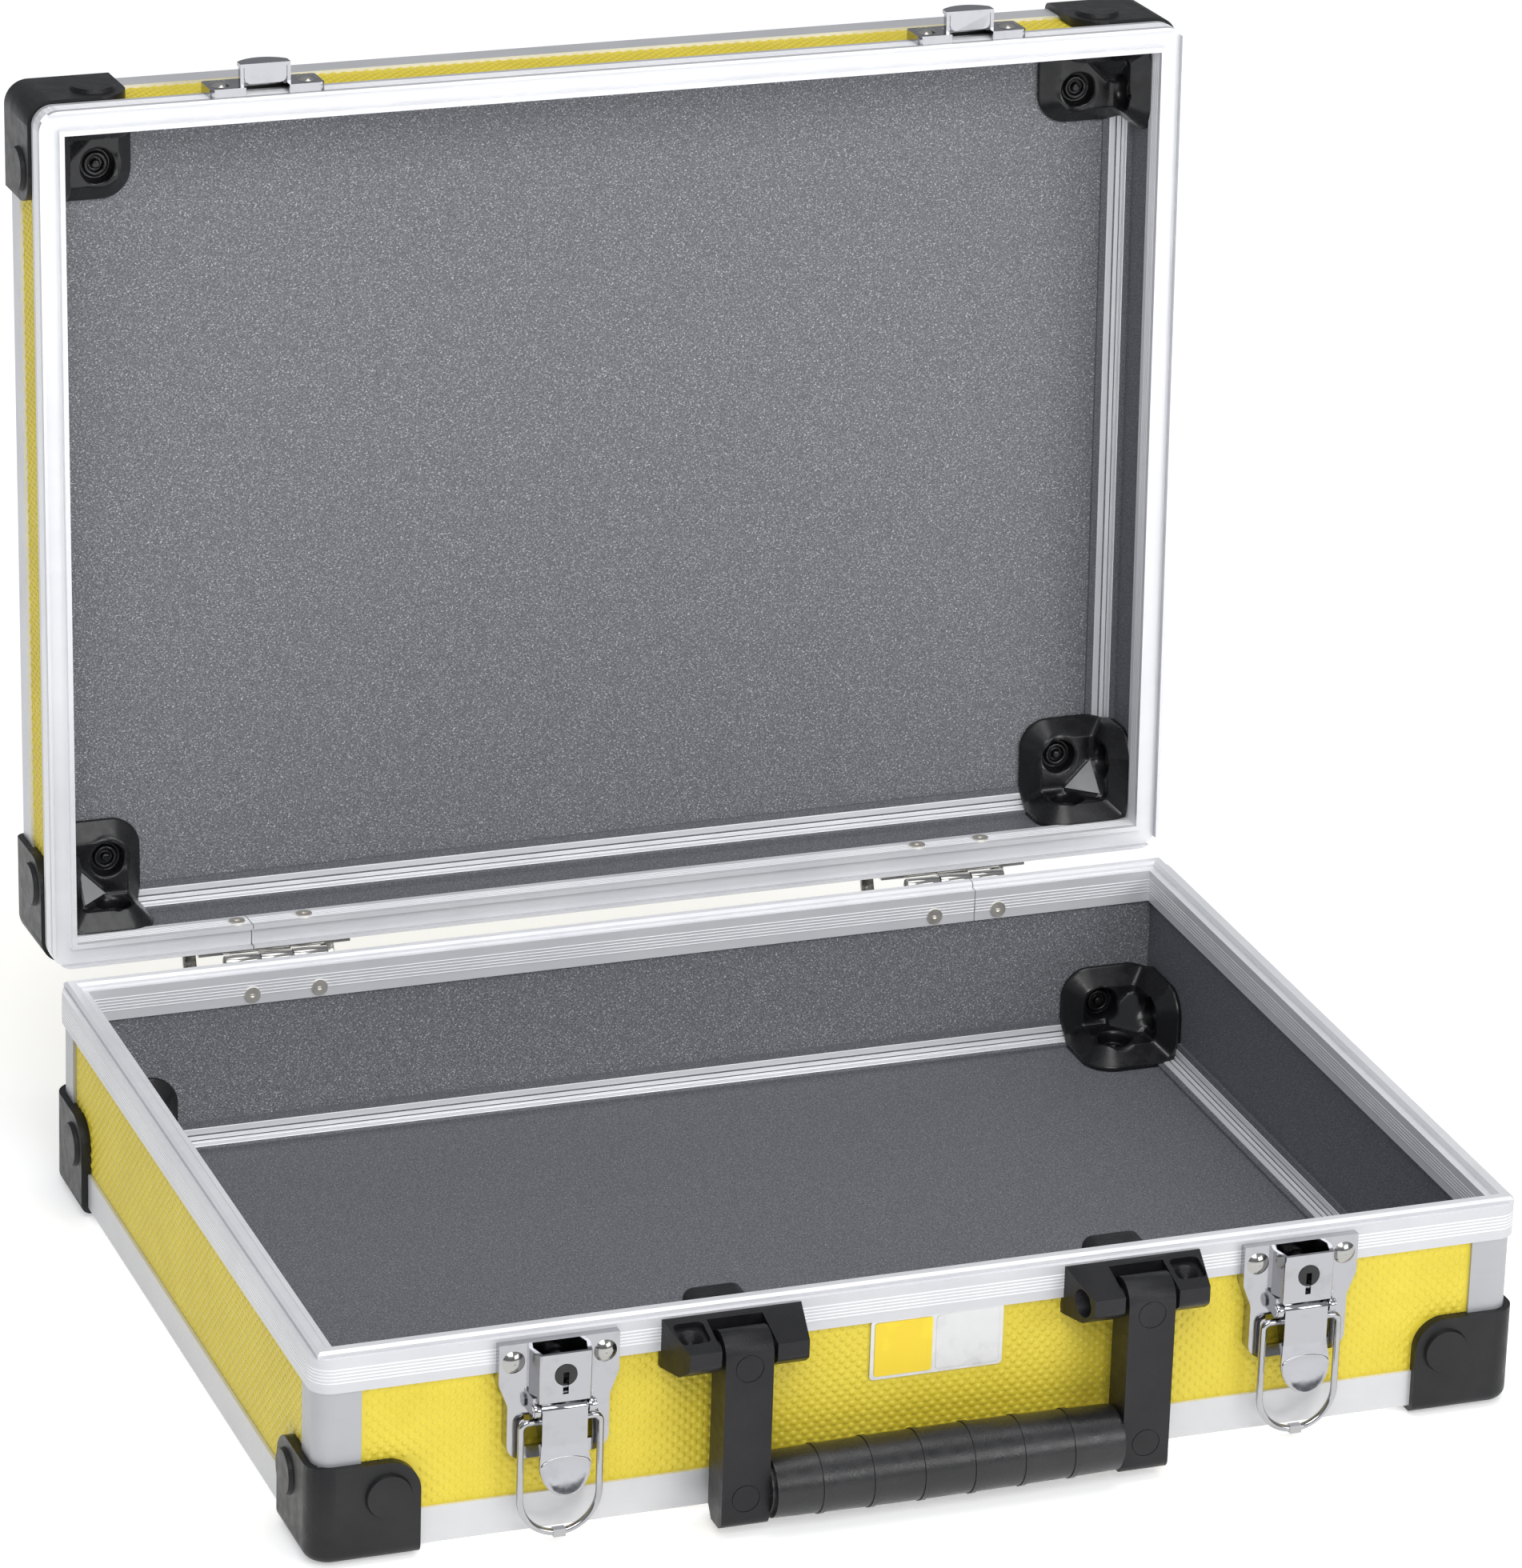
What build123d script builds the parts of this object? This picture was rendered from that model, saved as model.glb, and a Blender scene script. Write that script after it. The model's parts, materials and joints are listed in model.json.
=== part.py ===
"""Tool case: aluminium framed base and lid, draw latches, drop handle and two rear hinges.

Millimetres, +Z up, +Y towards the hinges. The lid is drawn open, resting on its stops. The
origin is the middle of the open case's box, on the surface that the feet stand on, so the
base's own middle lies in front of it.
"""
import os
from math import asin, cos, degrees, radians, sin

from build123d import *

os.makedirs("parts", exist_ok=True)

# Overall size, over the rim frames
case_width = 345.0
case_depth = 255.0
base_height = 57.6
lid_height = 35.0
closing_gap = 0.4
opening_angle = 92.5
base_forward = 16.4

# Walls and aluminium profiles
panel_thickness = 4.0
strip_thickness = 1.0
strip_step = 1.0
post_reach = 12.5
post_radius = 5.0
base_strip_height = 10.4
lid_strip_height = 8.4
inner_leg = 6.0
inner_leg_thickness = 1.0
rim_radius = 6.0
inner_flange = 1.3
base_flange_height = 9.8
lid_flange_height = 8.5
base_web = 1.5
lid_web = 3.6
groove_count = 5
groove_width = 0.4
groove_depth = 0.3
groove_pitch = 0.95
seam_gap = 0.3
base_seam_inset = 63.8
lid_seam_inset = 60.1
base_seam_x = case_width / 2 - base_seam_inset
lid_seam_x = lid_seam_inset - case_width / 2

# Tongue on the base rim and its groove in the lid rim
tongue_outer = 1.5
tongue_inner = 5.3
tongue_height = 1.8
tongue_bevel = 0.8
tongue_play = 0.6

# Plastic corners and their rivets
corner_wall = 2.0
corner_reach = 30.5
corner_height = 28.0
corner_free_radius = 9.0
corner_bottom_radius = 3.0
corner_rivet_side = 20.5
corner_rivet_up = 16.5
corner_head_radius = 6.5
corner_head_height = 1.2
corner_shank_radius = 3.0
shank_play = 0.1
inner_corner_reach = 26.0
inner_corner_height = 21.0
inner_corner_wall = 2.4
inner_corner_radius = 8.0
pocket_radius = 5.6

# Hinges
hinge_inset = 66.5
hinge_x = case_width / 2 - hinge_inset
hinge_width = 46.0
leaf_thickness = 1.0
base_leaf_height = 20.5
lid_leaf_height = 19.6
barrel_radius = 2.1
barrel_strap = 1.0
barrel_length = 31.0
middle_knuckle = 10.0
knuckle_gap = 0.2
hinge_drop = 0.6
hinge_pin_radius = 1.0
pin_play = 0.05
stop_arm_radius = 19.0
stop_arm_width = 4.0
stop_arm_thickness = 1.2
stop_clearance = 0.3
hinge_rivet_pitch = 20.3
base_rivet_drop = 6.8
lid_rivet_drop = 4.25
rivet_shank_radius = 1.5
rivet_play = 0.05
base_head_radius = 3.2
lid_head_radius = 2.8
rivet_head_height = 1.3
eyelet_radius = 2.4
eyelet_height = 0.5

# Draw latches
latch_inset = 66.5
latch_x = case_width / 2 - latch_inset
plate_width = 33.4
plate_waist = 28.4
plate_height = 33.7
plate_neck_up = 48.5
plate_waist_up = 42.0
plate_foot = 2.6
plate_bend = 4.0
plate_standoff = 2.6
plate_skin = 1.1
plate_top_drop = 1.0
plate_window_width = 19.2
plate_window_low = 29.6
plate_window_high = 39.0
latch_rivet_pitch = 25.4
latch_rivet_drop = 6.15
lever_pin_out = 6.3
lever_pin_up = 41.6
lever_pin_radius = 0.95
lever_nose = 1.9
lever_gap = 2.2
lever_skin = 1.0
lever_width = 12.6
lever_crease_up = 31.4
lever_shoulder_up = 26.2
lever_shoulder_width = 14.2
lever_tip_up = 17.7
lever_tip_out = 10.8
cheek_back = 2.9
cheek_low_up = 27.4
ear_radius = 1.8
ear_gap = 0.45
lug_radius = 2.0
housing_back_width = 16.8
housing_front_width = 14.4
housing_skin = 1.0
housing_low_up = 44.2
housing_top_drop = 2.6
pin_collar_radius = 1.8
pin_collar = 0.5
bail_pivot_out = 4.8
bail_pivot_up = 37.5
bail_wire_radius = 0.95
bail_half_width = 11.05
bail_length = 33.2
bail_bend = 2.0
bail_end = 5.5
weld_length = 3.4
weld_height = 2.2
weld_depth = 2.1
plug_radius = 3.1
plug_length = 5.0
plug_collar_radius = 3.7
plug_up = 52.0
plug_proud = 0.2
keyhole_slot = 1.6
keyhole_drop = 5.6
keyhole_depth = 3.0

# Catches on the lid
catch_width = 33.4
catch_height = 10.7
catch_drop = 0.8
catch_standoff = 2.6
catch_skin = 1.0
catch_bar = 2.6
catch_radius = 1.2
hook_out = 8.7
hook_width = 14.7
hook_low = 3.2
hook_leg = 2.1
hook_side = 6.6
hook_top = 10.1
hook_tab_width = 12.4
hook_tab_radius = 2.0
hook_tab_clear = 0.3
catch_rivet_up = 6.0

# Drop handle
handle_x = 57.3
bracket_width = 39.2
bracket_taper = 2.9
bracket_out = 15.0
bracket_top_up = 60.2
bracket_crease_up = 56.2
bracket_lip_up = 51.2
bracket_belly_out = 9.5
bracket_belly_up = 47.4
bracket_bottom_up = 45.9
bracket_channel = 15.7
bracket_back = 2.2
bracket_bore_radius = 3.9
bracket_bore_depth = 7.6
bracket_pocket_width = 8.4
bracket_pocket_length = 8.6
bracket_pocket_depth = 1.8
bracket_cone_radius = 3.3
bracket_cone_depth = 3.0
handle_pivot_out = 9.2
handle_pivot_up = 53.2
handle_pin_radius = 2.0
handle_pin_seat = 2.6
handle_pin_tip = 3.0
arm_width = 13.5
arm_back_out = 4.5
arm_front_out = 15.2
arm_head_radius = 6.0
arm_bottom_up = 2.9
arm_chamfer_out = 2.6
arm_chamfer_up = 3.6
arm_corner_radius = 3.0
arm_boss_radius = 3.15
arm_boss_play = 0.3
arm_ring_radius = 4.0
arm_ring_width = 0.25
arm_ring_depth = 0.2
arm_ring_ups = (50.2, 11.9)
grip_out = 10.2
grip_up = 12.5
grip_radius = 9.6
grip_end_radius = 9.0
grip_collar_radius = 7.6
grip_collar = 1.0
grip_ridges = 6
grip_ridge_pitch = 14.4
grip_ridge_width = 1.4
grip_ridge_height = 0.3
grip_pin_radius = 2.5
grip_pin_length = 4.0
backing_width = 18.4
backing_depth = 16.0
backing_top_up = 57.0
backing_bottom_up = 41.0
backing_radius = 3.0
backing_play = 0.1
bracket_screw_pitch = 11.0
bracket_screw_radius = 1.5
bracket_screw_up = 48.4
bracket_screw_bite = 1.2
screw_head_radius = 3.0
screw_head_height = 1.6

# Blank badge plate
badge_width = 38.0
badge_height = 17.7
badge_thickness = 0.8
badge_x = 2.0
badge_up = 42.0
badge_radius = 1.2

# Sizes that follow from the ones above
foot_height = corner_wall + corner_head_height
panel_inset = strip_step + strip_thickness
panel_inner = panel_inset + panel_thickness
rim_thickness = panel_inner + inner_flange
floor_inner = strip_thickness + panel_thickness
core_inner = panel_inner + inner_leg_thickness
core_top = floor_inner + inner_leg_thickness
post_end = strip_step + post_reach
shoulder_up = foot_height + base_height
lid_shoulder_up = shoulder_up + closing_gap
hinge_back = leaf_thickness + barrel_radius
hinge_y = case_depth / 2 + hinge_back
hinge_z = shoulder_up - hinge_drop
flange_low_up = shoulder_up - base_flange_height
lid_flange_top_up = lid_shoulder_up + lid_flange_height
lever_front = lever_pin_out + lever_nose


def on(frame, origin, x_dir=(1, 0, 0), z_dir=(0, 0, 1)):
    """A plane whose origin and directions are given in another frame's coordinates."""
    start = frame.from_local_coords(Vector(0, 0, 0))
    return Plane(
        origin=frame.from_local_coords(Vector(*origin)),
        x_dir=frame.from_local_coords(Vector(*x_dir)) - start,
        z_dir=frame.from_local_coords(Vector(*z_dir)) - start,
    )


# The lid's frame holds the coordinates that its pieces have while the case is shut
base_place = Location((0, -base_forward, 0))
hinge_turn = Location((0, hinge_y, hinge_z)) * Location((0, 0, 0), (-opening_angle, 0, 0))
base_frame = Plane(base_place)
lid_frame = Plane(base_place * hinge_turn * Location((0, -hinge_y, -hinge_z)))

# Each shell's frame starts at its outer face, with z towards its rim
base_shell = on(base_frame, (0, 0, foot_height))
lid_shell = on(lid_frame, (0, 0, lid_shoulder_up + lid_height), (-1, 0, 0), (0, 0, -1))
SHELLS = {
    "base": (base_shell, base_height, base_flange_height, base_web, base_strip_height),
    "lid": (lid_shell, lid_height, lid_flange_height, lid_web, lid_strip_height),
}

# Directions along and out of each wall, and half the case's size across it
WALLS = {
    "front": ((1, 0, 0), (0, -1, 0), case_depth / 2, case_width),
    "rear": ((-1, 0, 0), (0, 1, 0), case_depth / 2, case_width),
    "left": ((0, -1, 0), (-1, 0, 0), case_width / 2, case_depth),
    "right": ((0, 1, 0), (1, 0, 0), case_width / 2, case_depth),
}
CORNERS = {
    "front_left": (-1, -1, (1, 0, 0)),
    "front_right": (1, -1, (0, 1, 0)),
    "rear_right": (1, 1, (-1, 0, 0)),
    "rear_left": (-1, 1, (0, -1, 0)),
}
# The lid's shell lies face down over the base, so its left and right change places
TURNED = {"left": "right", "right": "left"}


def world_name(shell_name, name):
    """The name of a shell's wall or corner as seen on the finished case."""
    if shell_name == "base":
        return name
    words = name.split("_")
    return "_".join(TURNED.get(word, word) for word in words)


def wall_plane(shell, wall, inset=0.0):
    """The plane of a wall, that far in from the rim's outer face, with y towards the rim."""
    along, out, half, _ = WALLS[wall]
    return on(shell, tuple(d * (half - inset) for d in out), along, out)


def corner_plane(shell, corner):
    """A corner's frame: x and y run along the two walls, z towards the rim."""
    side_x, side_y, x_dir = CORNERS[corner]
    return on(shell, (side_x * case_width / 2, side_y * case_depth / 2, 0), x_dir)


def save(name, piece):
    piece.part.label = name
    export_step(piece.part, f"parts/{name}.step")


def wall_holes(shell_name, wall):
    """Hole centres and radii in a wall, in the wall's own coordinates."""
    _, height, _, _, _ = SHELLS[shell_name]
    length = WALLS[wall][3]
    corner_x = length / 2 - corner_rivet_side
    holes = [(side * corner_x, corner_rivet_up, corner_shank_radius + shank_play) for side in (-1, 1)]
    small = rivet_shank_radius + rivet_play
    drop = base_rivet_drop if shell_name == "base" else lid_rivet_drop
    if wall == "rear":
        for side in (-1, 1):
            for half in (-1, 1):
                holes.append((side * hinge_x + half * hinge_rivet_pitch / 2, height - drop, small))
    if wall == "front":
        drop = latch_rivet_drop if shell_name == "base" else catch_rivet_up
        for side in (-1, 1):
            for half in (-1, 1):
                holes.append((side * latch_x + half * latch_rivet_pitch / 2, height - drop, small))
    if wall == "front" and shell_name == "base":
        for side in (-1, 1):
            for half in (-1, 1):
                x = side * handle_x + half * bracket_screw_pitch / 2
                holes.append((x, bracket_screw_up - foot_height, bracket_screw_radius + rivet_play))
    return holes


def make_wall_panel(shell_name, wall):
    shell, height, _, web, _ = SHELLS[shell_name]
    length = WALLS[wall][3] - 2 * panel_inner
    low, high = core_top, height - web
    with BuildPart() as panel:
        with BuildSketch(wall_plane(shell, wall, panel_inset)):
            with Locations((0, (low + high) / 2)):
                Rectangle(length, high - low)
            for x, y, radius in wall_holes(shell_name, wall):
                with Locations((x, y)):
                    Circle(radius, mode=Mode.SUBTRACT)
        extrude(amount=-panel_thickness)
    save(f"{shell_name}_{world_name(shell_name, wall)}_panel", panel)


def make_face_panel(shell_name, name):
    """The floor of the base or the top of the lid."""
    shell = SHELLS[shell_name][0]
    rivet_x = case_width / 2 - corner_rivet_side
    rivet_y = case_depth / 2 - corner_rivet_side
    with BuildPart() as panel:
        with BuildSketch(on(shell, (0, 0, strip_thickness))):
            Rectangle(case_width - 2 * core_inner, case_depth - 2 * core_inner)
            with GridLocations(2 * rivet_x, 2 * rivet_y, 2, 2):
                Circle(corner_shank_radius + shank_play, mode=Mode.SUBTRACT)
        extrude(amount=panel_thickness)
    save(name, panel)


def ring(plane, outer, inner, radius=0.0):
    """A frame shaped sketch between two insets from the rim's outer face."""
    with BuildSketch(plane) as outline:
        if radius:
            RectangleRounded(case_width - 2 * outer, case_depth - 2 * outer, radius)
        else:
            Rectangle(case_width - 2 * outer, case_depth - 2 * outer)
        Rectangle(case_width - 2 * inner, case_depth - 2 * inner, mode=Mode.SUBTRACT)
    return outline.sketch


def make_rim_frame(shell_name):
    shell, height, flange, web, _ = SHELLS[shell_name]
    low = height - flange
    first_groove = height - flange / 2 + groove_pitch * (groove_count - 1) / 2
    seam = base_seam_x if shell_name == "base" else -lid_seam_x
    with BuildPart() as rim:
        extrude(ring(on(shell, (0, 0, low)), 0, rim_thickness, rim_radius), amount=flange)
        slot = ring(on(shell, (0, 0, low)), panel_inset, panel_inner, rim_radius - panel_inset)
        extrude(slot, amount=flange - web, mode=Mode.SUBTRACT)
        if shell_name == "base":
            with BuildPart(mode=Mode.PRIVATE) as tongue:
                extrude(ring(on(shell, (0, 0, height)), tongue_outer, tongue_inner), amount=tongue_height)
                top = tongue.faces().sort_by(Axis(shell.origin, shell.z_dir))[-1]
                chamfer(top.edges(), length=tongue_bevel)
            add(tongue.part)
        else:
            groove = ring(
                on(shell, (0, 0, height)), tongue_outer - tongue_play, tongue_inner + tongue_play
            )
            extrude(groove, amount=-(tongue_height + tongue_play - closing_gap), mode=Mode.SUBTRACT)
        for number in range(groove_count):
            level = on(shell, (0, 0, first_groove - number * groove_pitch - groove_width / 2))
            outside = ring(level, 0, groove_depth, rim_radius)
            inside = ring(level, rim_thickness - groove_depth, rim_thickness)
            extrude(outside, amount=groove_width, mode=Mode.SUBTRACT)
            extrude(inside, amount=groove_width, mode=Mode.SUBTRACT)
        with BuildSketch(on(shell, (seam, case_depth / 2 - rim_thickness / 2, low))):
            Rectangle(seam_gap, rim_thickness + 1)
        extrude(amount=flange + tongue_height, mode=Mode.SUBTRACT)
        for wall in ("front", "rear"):
            with BuildSketch(wall_plane(shell, wall)):
                for x, y, radius in wall_holes(shell_name, wall):
                    if y > low:
                        with Locations((x, y)):
                            Circle(radius)
            extrude(amount=-rim_thickness, mode=Mode.SUBTRACT)
    save(f"{shell_name}_rim_frame", rim)


def make_corner_posts(shell_name):
    shell, height, flange, _, _ = SHELLS[shell_name]
    planes = [corner_plane(shell, corner) for corner in CORNERS]
    near, far = strip_step, post_end
    outline = [
        (near, near), (far, near), (far, panel_inset), (panel_inner, panel_inset),
        (panel_inner, panel_inner), (panel_inset, panel_inner), (panel_inset, far), (near, far),
    ]
    with BuildPart() as posts:
        for plane in planes:
            with BuildSketch(plane) as section:
                with BuildLine():
                    Polyline(*outline, close=True)
                make_face()
                fillet(section.vertices().sort_by_distance((near, near, 0))[0], post_radius)
            extrude(amount=height - flange)
    save(f"{shell_name}_corner_posts", posts)


def make_edge_profiles(shell_name):
    shell, _, _, _, strip = SHELLS[shell_name]
    near = strip_step
    outside = [
        (near, 0), (near + strip, 0), (near + strip, strip_thickness), (core_inner, strip_thickness),
        (core_inner, core_top), (panel_inset, core_top), (panel_inset, strip), (near, strip),
    ]
    inside = [
        (panel_inner, floor_inner), (core_inner + inner_leg, floor_inner), (core_inner + inner_leg, core_top),
        (core_inner, core_top), (core_inner, core_top + inner_leg), (panel_inner, core_top + inner_leg),
    ]
    with BuildPart() as profiles:
        for wall, (along, out, half, length) in WALLS.items():
            inward = tuple(-d for d in out)
            section = on(shell, tuple(d * half for d in out), inward, along)
            outer_half = length / 2 - post_end
            inner_half = length / 2 - panel_inner - inner_corner_reach
            for outline, reach in ((outside, outer_half), (inside, inner_half)):
                with BuildSketch(section):
                    with BuildLine():
                        Polyline(*outline, close=True)
                    make_face()
                extrude(amount=reach, both=True)
    save(f"{shell_name}_edge_profiles", profiles)


def corner_box(low, high, mode=Mode.ADD):
    """A box between two points of the corner's own frame."""
    size = [b - a for a, b in zip(low, high)]
    with Locations(tuple(low)):
        Box(*size, align=(Align.MIN, Align.MIN, Align.MIN), mode=mode)


def corner_rivet_axes():
    """Where the three rivets of a corner pass, and the turn from z to each one's inward way."""
    side, up = corner_rivet_side, corner_rivet_up
    return [((side, 0, up), (-90, 0, 0)), ((0, side, up), (0, 90, 0)), ((side, side, 0), (0, 0, 0))]


def make_outer_corner(shell_name, corner):
    shell, _, _, _, strip = SHELLS[shell_name]
    face = strip_step - corner_wall
    far = face + corner_reach
    top = corner_height - corner_wall
    fit = shank_play
    plane = corner_plane(shell, corner)
    with BuildPart(plane) as piece:
        corner_box((face, face, -corner_wall), (far, far, top))
        up = Axis(plane.origin, plane.z_dir)
        outer = piece.edges().filter_by(up).sort_by_distance(plane.origin)[0]
        fillet(outer, post_radius + corner_wall)
        bottom = piece.faces().sort_by(up)[0].edges()
        near_bottom = bottom.sort_by_distance(plane.origin)[:3]
        fillet(near_bottom, corner_bottom_radius)
        corner_box((panel_inset, panel_inset, strip_thickness), (far, far, top), Mode.SUBTRACT)
        near, end = strip_step, post_end + fit
        post = [(near, near), (end, near), (end, end), (near, end)]
        slab(plane, post, 0, top, Mode.SUBTRACT, post_radius, (0,))
        low = max(base_strip_height, lid_strip_height) + fit
        leg = near + low
        legs = [(near, near), (far, near), (far, leg), (leg, leg), (leg, far), (near, far)]
        slab(plane, legs, 0, low, Mode.SUBTRACT, post_radius, (0,))
        for direction, spot in (
            (plane.x_dir, (panel_inset / 2, far, top)),
            (plane.y_dir, (far, panel_inset / 2, top)),
            (plane.z_dir, (far, far, -corner_wall / 2)),
        ):
            near_spot = plane.from_local_coords(Vector(*spot))
            edges = piece.edges().filter_by(Axis(plane.origin, direction))
            fillet(edges.sort_by_distance(near_spot)[0], corner_free_radius)
        for centre, turn in corner_rivet_axes():
            with Locations(Location(centre, turn)):
                Cylinder(corner_shank_radius + shank_play, 3 * corner_wall, mode=Mode.SUBTRACT)
    save(f"{shell_name}_outer_corner_{world_name(shell_name, corner)}", piece)


def make_corner_rivets(shell_name):
    """Mushroom headed push rivets, three to a corner. The lower heads are the case's feet."""
    shell = SHELLS[shell_name][0]
    with BuildPart() as rivets:
        for corner in CORNERS:
            plane = corner_plane(shell, corner)
            for centre, turn in corner_rivet_axes():
                side_rivet = turn != (0, 0, 0)
                seat = strip_step - corner_wall if side_rivet else -corner_wall
                inner = (panel_inner if side_rivet else floor_inner) + inner_corner_wall
                axis = Plane(plane.location * Location(centre, turn))
                with BuildSketch(axis.offset(seat)):
                    Circle(corner_head_radius)
                extrude(amount=-corner_head_height, taper=20)
                with BuildSketch(axis.offset(seat)):
                    Circle(corner_shank_radius)
                extrude(amount=inner - seat)
    save(f"{shell_name}_corner_rivets", rivets)


def make_inner_corners(shell_name):
    shell = SHELLS[shell_name][0]
    with BuildPart() as corners:
        for corner in CORNERS:
            plane = corner_plane(shell, corner)
            with BuildPart(plane, mode=Mode.PRIVATE) as piece:
                low = Vector(panel_inner, panel_inner, floor_inner)
                high = low + Vector(inner_corner_reach, inner_corner_reach, inner_corner_height)
                corner_box(low, high)
                middle = low + Vector(inner_corner_reach, 0, 0) * 0.92
                slope = Vector(1 / inner_corner_reach, 1 / inner_corner_reach, 1 / inner_corner_height)
                split(bisect_by=on(plane, tuple(middle), (1, -1, 0), tuple(slope)), keep=Keep.BOTTOM)
                wall = inner_corner_wall
                corner_box(low, (high.X, high.Y, low.Z + wall))
                corner_box(low, (high.X, low.Y + wall, high.Z))
                corner_box(low, (low.X + wall, high.Y, high.Z))
                for direction, spot in (
                    (plane.x_dir, (low.X, high.Y, high.Z)),
                    (plane.y_dir, (high.X, low.Y, high.Z)),
                    (plane.z_dir, (high.X, high.Y, low.Z)),
                ):
                    near_spot = plane.from_local_coords(Vector(*spot))
                    edges = piece.edges().filter_by(Axis(plane.origin, direction))
                    fillet(edges.sort_by_distance(near_spot)[0], inner_corner_radius)
                clear = core_inner + shank_play
                corner_box(low, (high.X, clear, core_top + shank_play), Mode.SUBTRACT)
                corner_box(low, (clear, high.Y, core_top + shank_play), Mode.SUBTRACT)
                for centre, turn in corner_rivet_axes():
                    start = floor_inner if turn == (0, 0, 0) else panel_inner
                    axis = Location(centre, turn) * Location((0, 0, start + wall))
                    with Locations(axis):
                        Cylinder(
                            pocket_radius, inner_corner_reach,
                            align=(Align.CENTER, Align.CENTER, Align.MIN), mode=Mode.SUBTRACT,
                        )
                        Cylinder(corner_shank_radius + shank_play, 3 * wall, mode=Mode.SUBTRACT)
            add(piece.part)
    save(f"{shell_name}_inner_corners", corners)


def front_plane(frame, x):
    """The front of the rims at that x: x along it, y up, z outwards."""
    return on(frame, (x, -case_depth / 2, 0), (1, 0, 0), (0, -1, 0))


def front_section(frame, x):
    """A section across the front at that x: x outwards, y up."""
    return on(frame, (x, -case_depth / 2, 0), (0, -1, 0), (-1, 0, 0))


def rear_plane(frame, x):
    return on(frame, (x, case_depth / 2, 0), (-1, 0, 0), (0, 1, 0))


def rear_section(frame, x):
    """A section across the rear at that x: x outwards, y up."""
    return on(frame, (x, case_depth / 2, 0), (0, 1, 0), (1, 0, 0))


def rod(plane, x, y, start, end, radius, mode=Mode.ADD):
    """A cylinder along a plane's normal between two heights over it."""
    with BuildSketch(plane.offset(start)) as disc:
        with Locations((x, y)):
            Circle(radius)
    extrude(disc.sketch, amount=end - start, mode=mode)


def slab(plane, outline, start, end, mode=Mode.ADD, radius=0.0, rounded=()):
    """A polygon extruded between two heights over a plane, some of its corners rounded."""
    with BuildSketch(plane.offset(start)) as face:
        with BuildLine():
            Polyline(*outline, close=True)
        make_face()
        if radius:
            corners = [face.vertices().sort_by_distance((*outline[n], 0))[0] for n in rounded]
            fillet(corners, radius)
    extrude(face.sketch, amount=end - start, mode=mode)


def block(plane, low, high, mode=Mode.ADD):
    """A box between two points given in a plane's coordinates."""
    (x0, y0, z0), (x1, y1, z1) = low, high
    slab(plane, [(x0, y0), (x1, y0), (x1, y1), (x0, y1)], z0, z1, mode)


def dome(plane, x, y, seat, radius, height):
    """A round rivet head on a seat at that height over a plane."""
    sphere = (radius**2 + height**2) / (2 * height)
    rise = degrees(asin((sphere - height) / sphere))
    with Locations(plane.location * Location((x, y, seat))):
        Sphere(sphere, arc_size1=rise, arc_size2=90, align=(Align.CENTER, Align.CENTER, Align.MIN))


def rivet(plane, x, y, seat, head_radius):
    """A rivet through a wall: head outside, shank, and the spread eyelet on the inner flange."""
    dome(plane, x, y, seat, head_radius, rivet_head_height)
    rod(plane, x, y, -rim_thickness, seat, rivet_shank_radius)
    rod(plane, x, y, -rim_thickness - eyelet_height, -rim_thickness, eyelet_radius)
    rod(plane, x, y, -rim_thickness - eyelet_height, -rim_thickness, rivet_shank_radius / 2, Mode.SUBTRACT)


def make_rivets(name, planes, pitch, y, seat, head_radius):
    with BuildPart() as rivets:
        for plane in planes:
            for half in (-1, 1):
                rivet(plane, half * pitch / 2, y, seat, head_radius)
    save(name, rivets)


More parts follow.
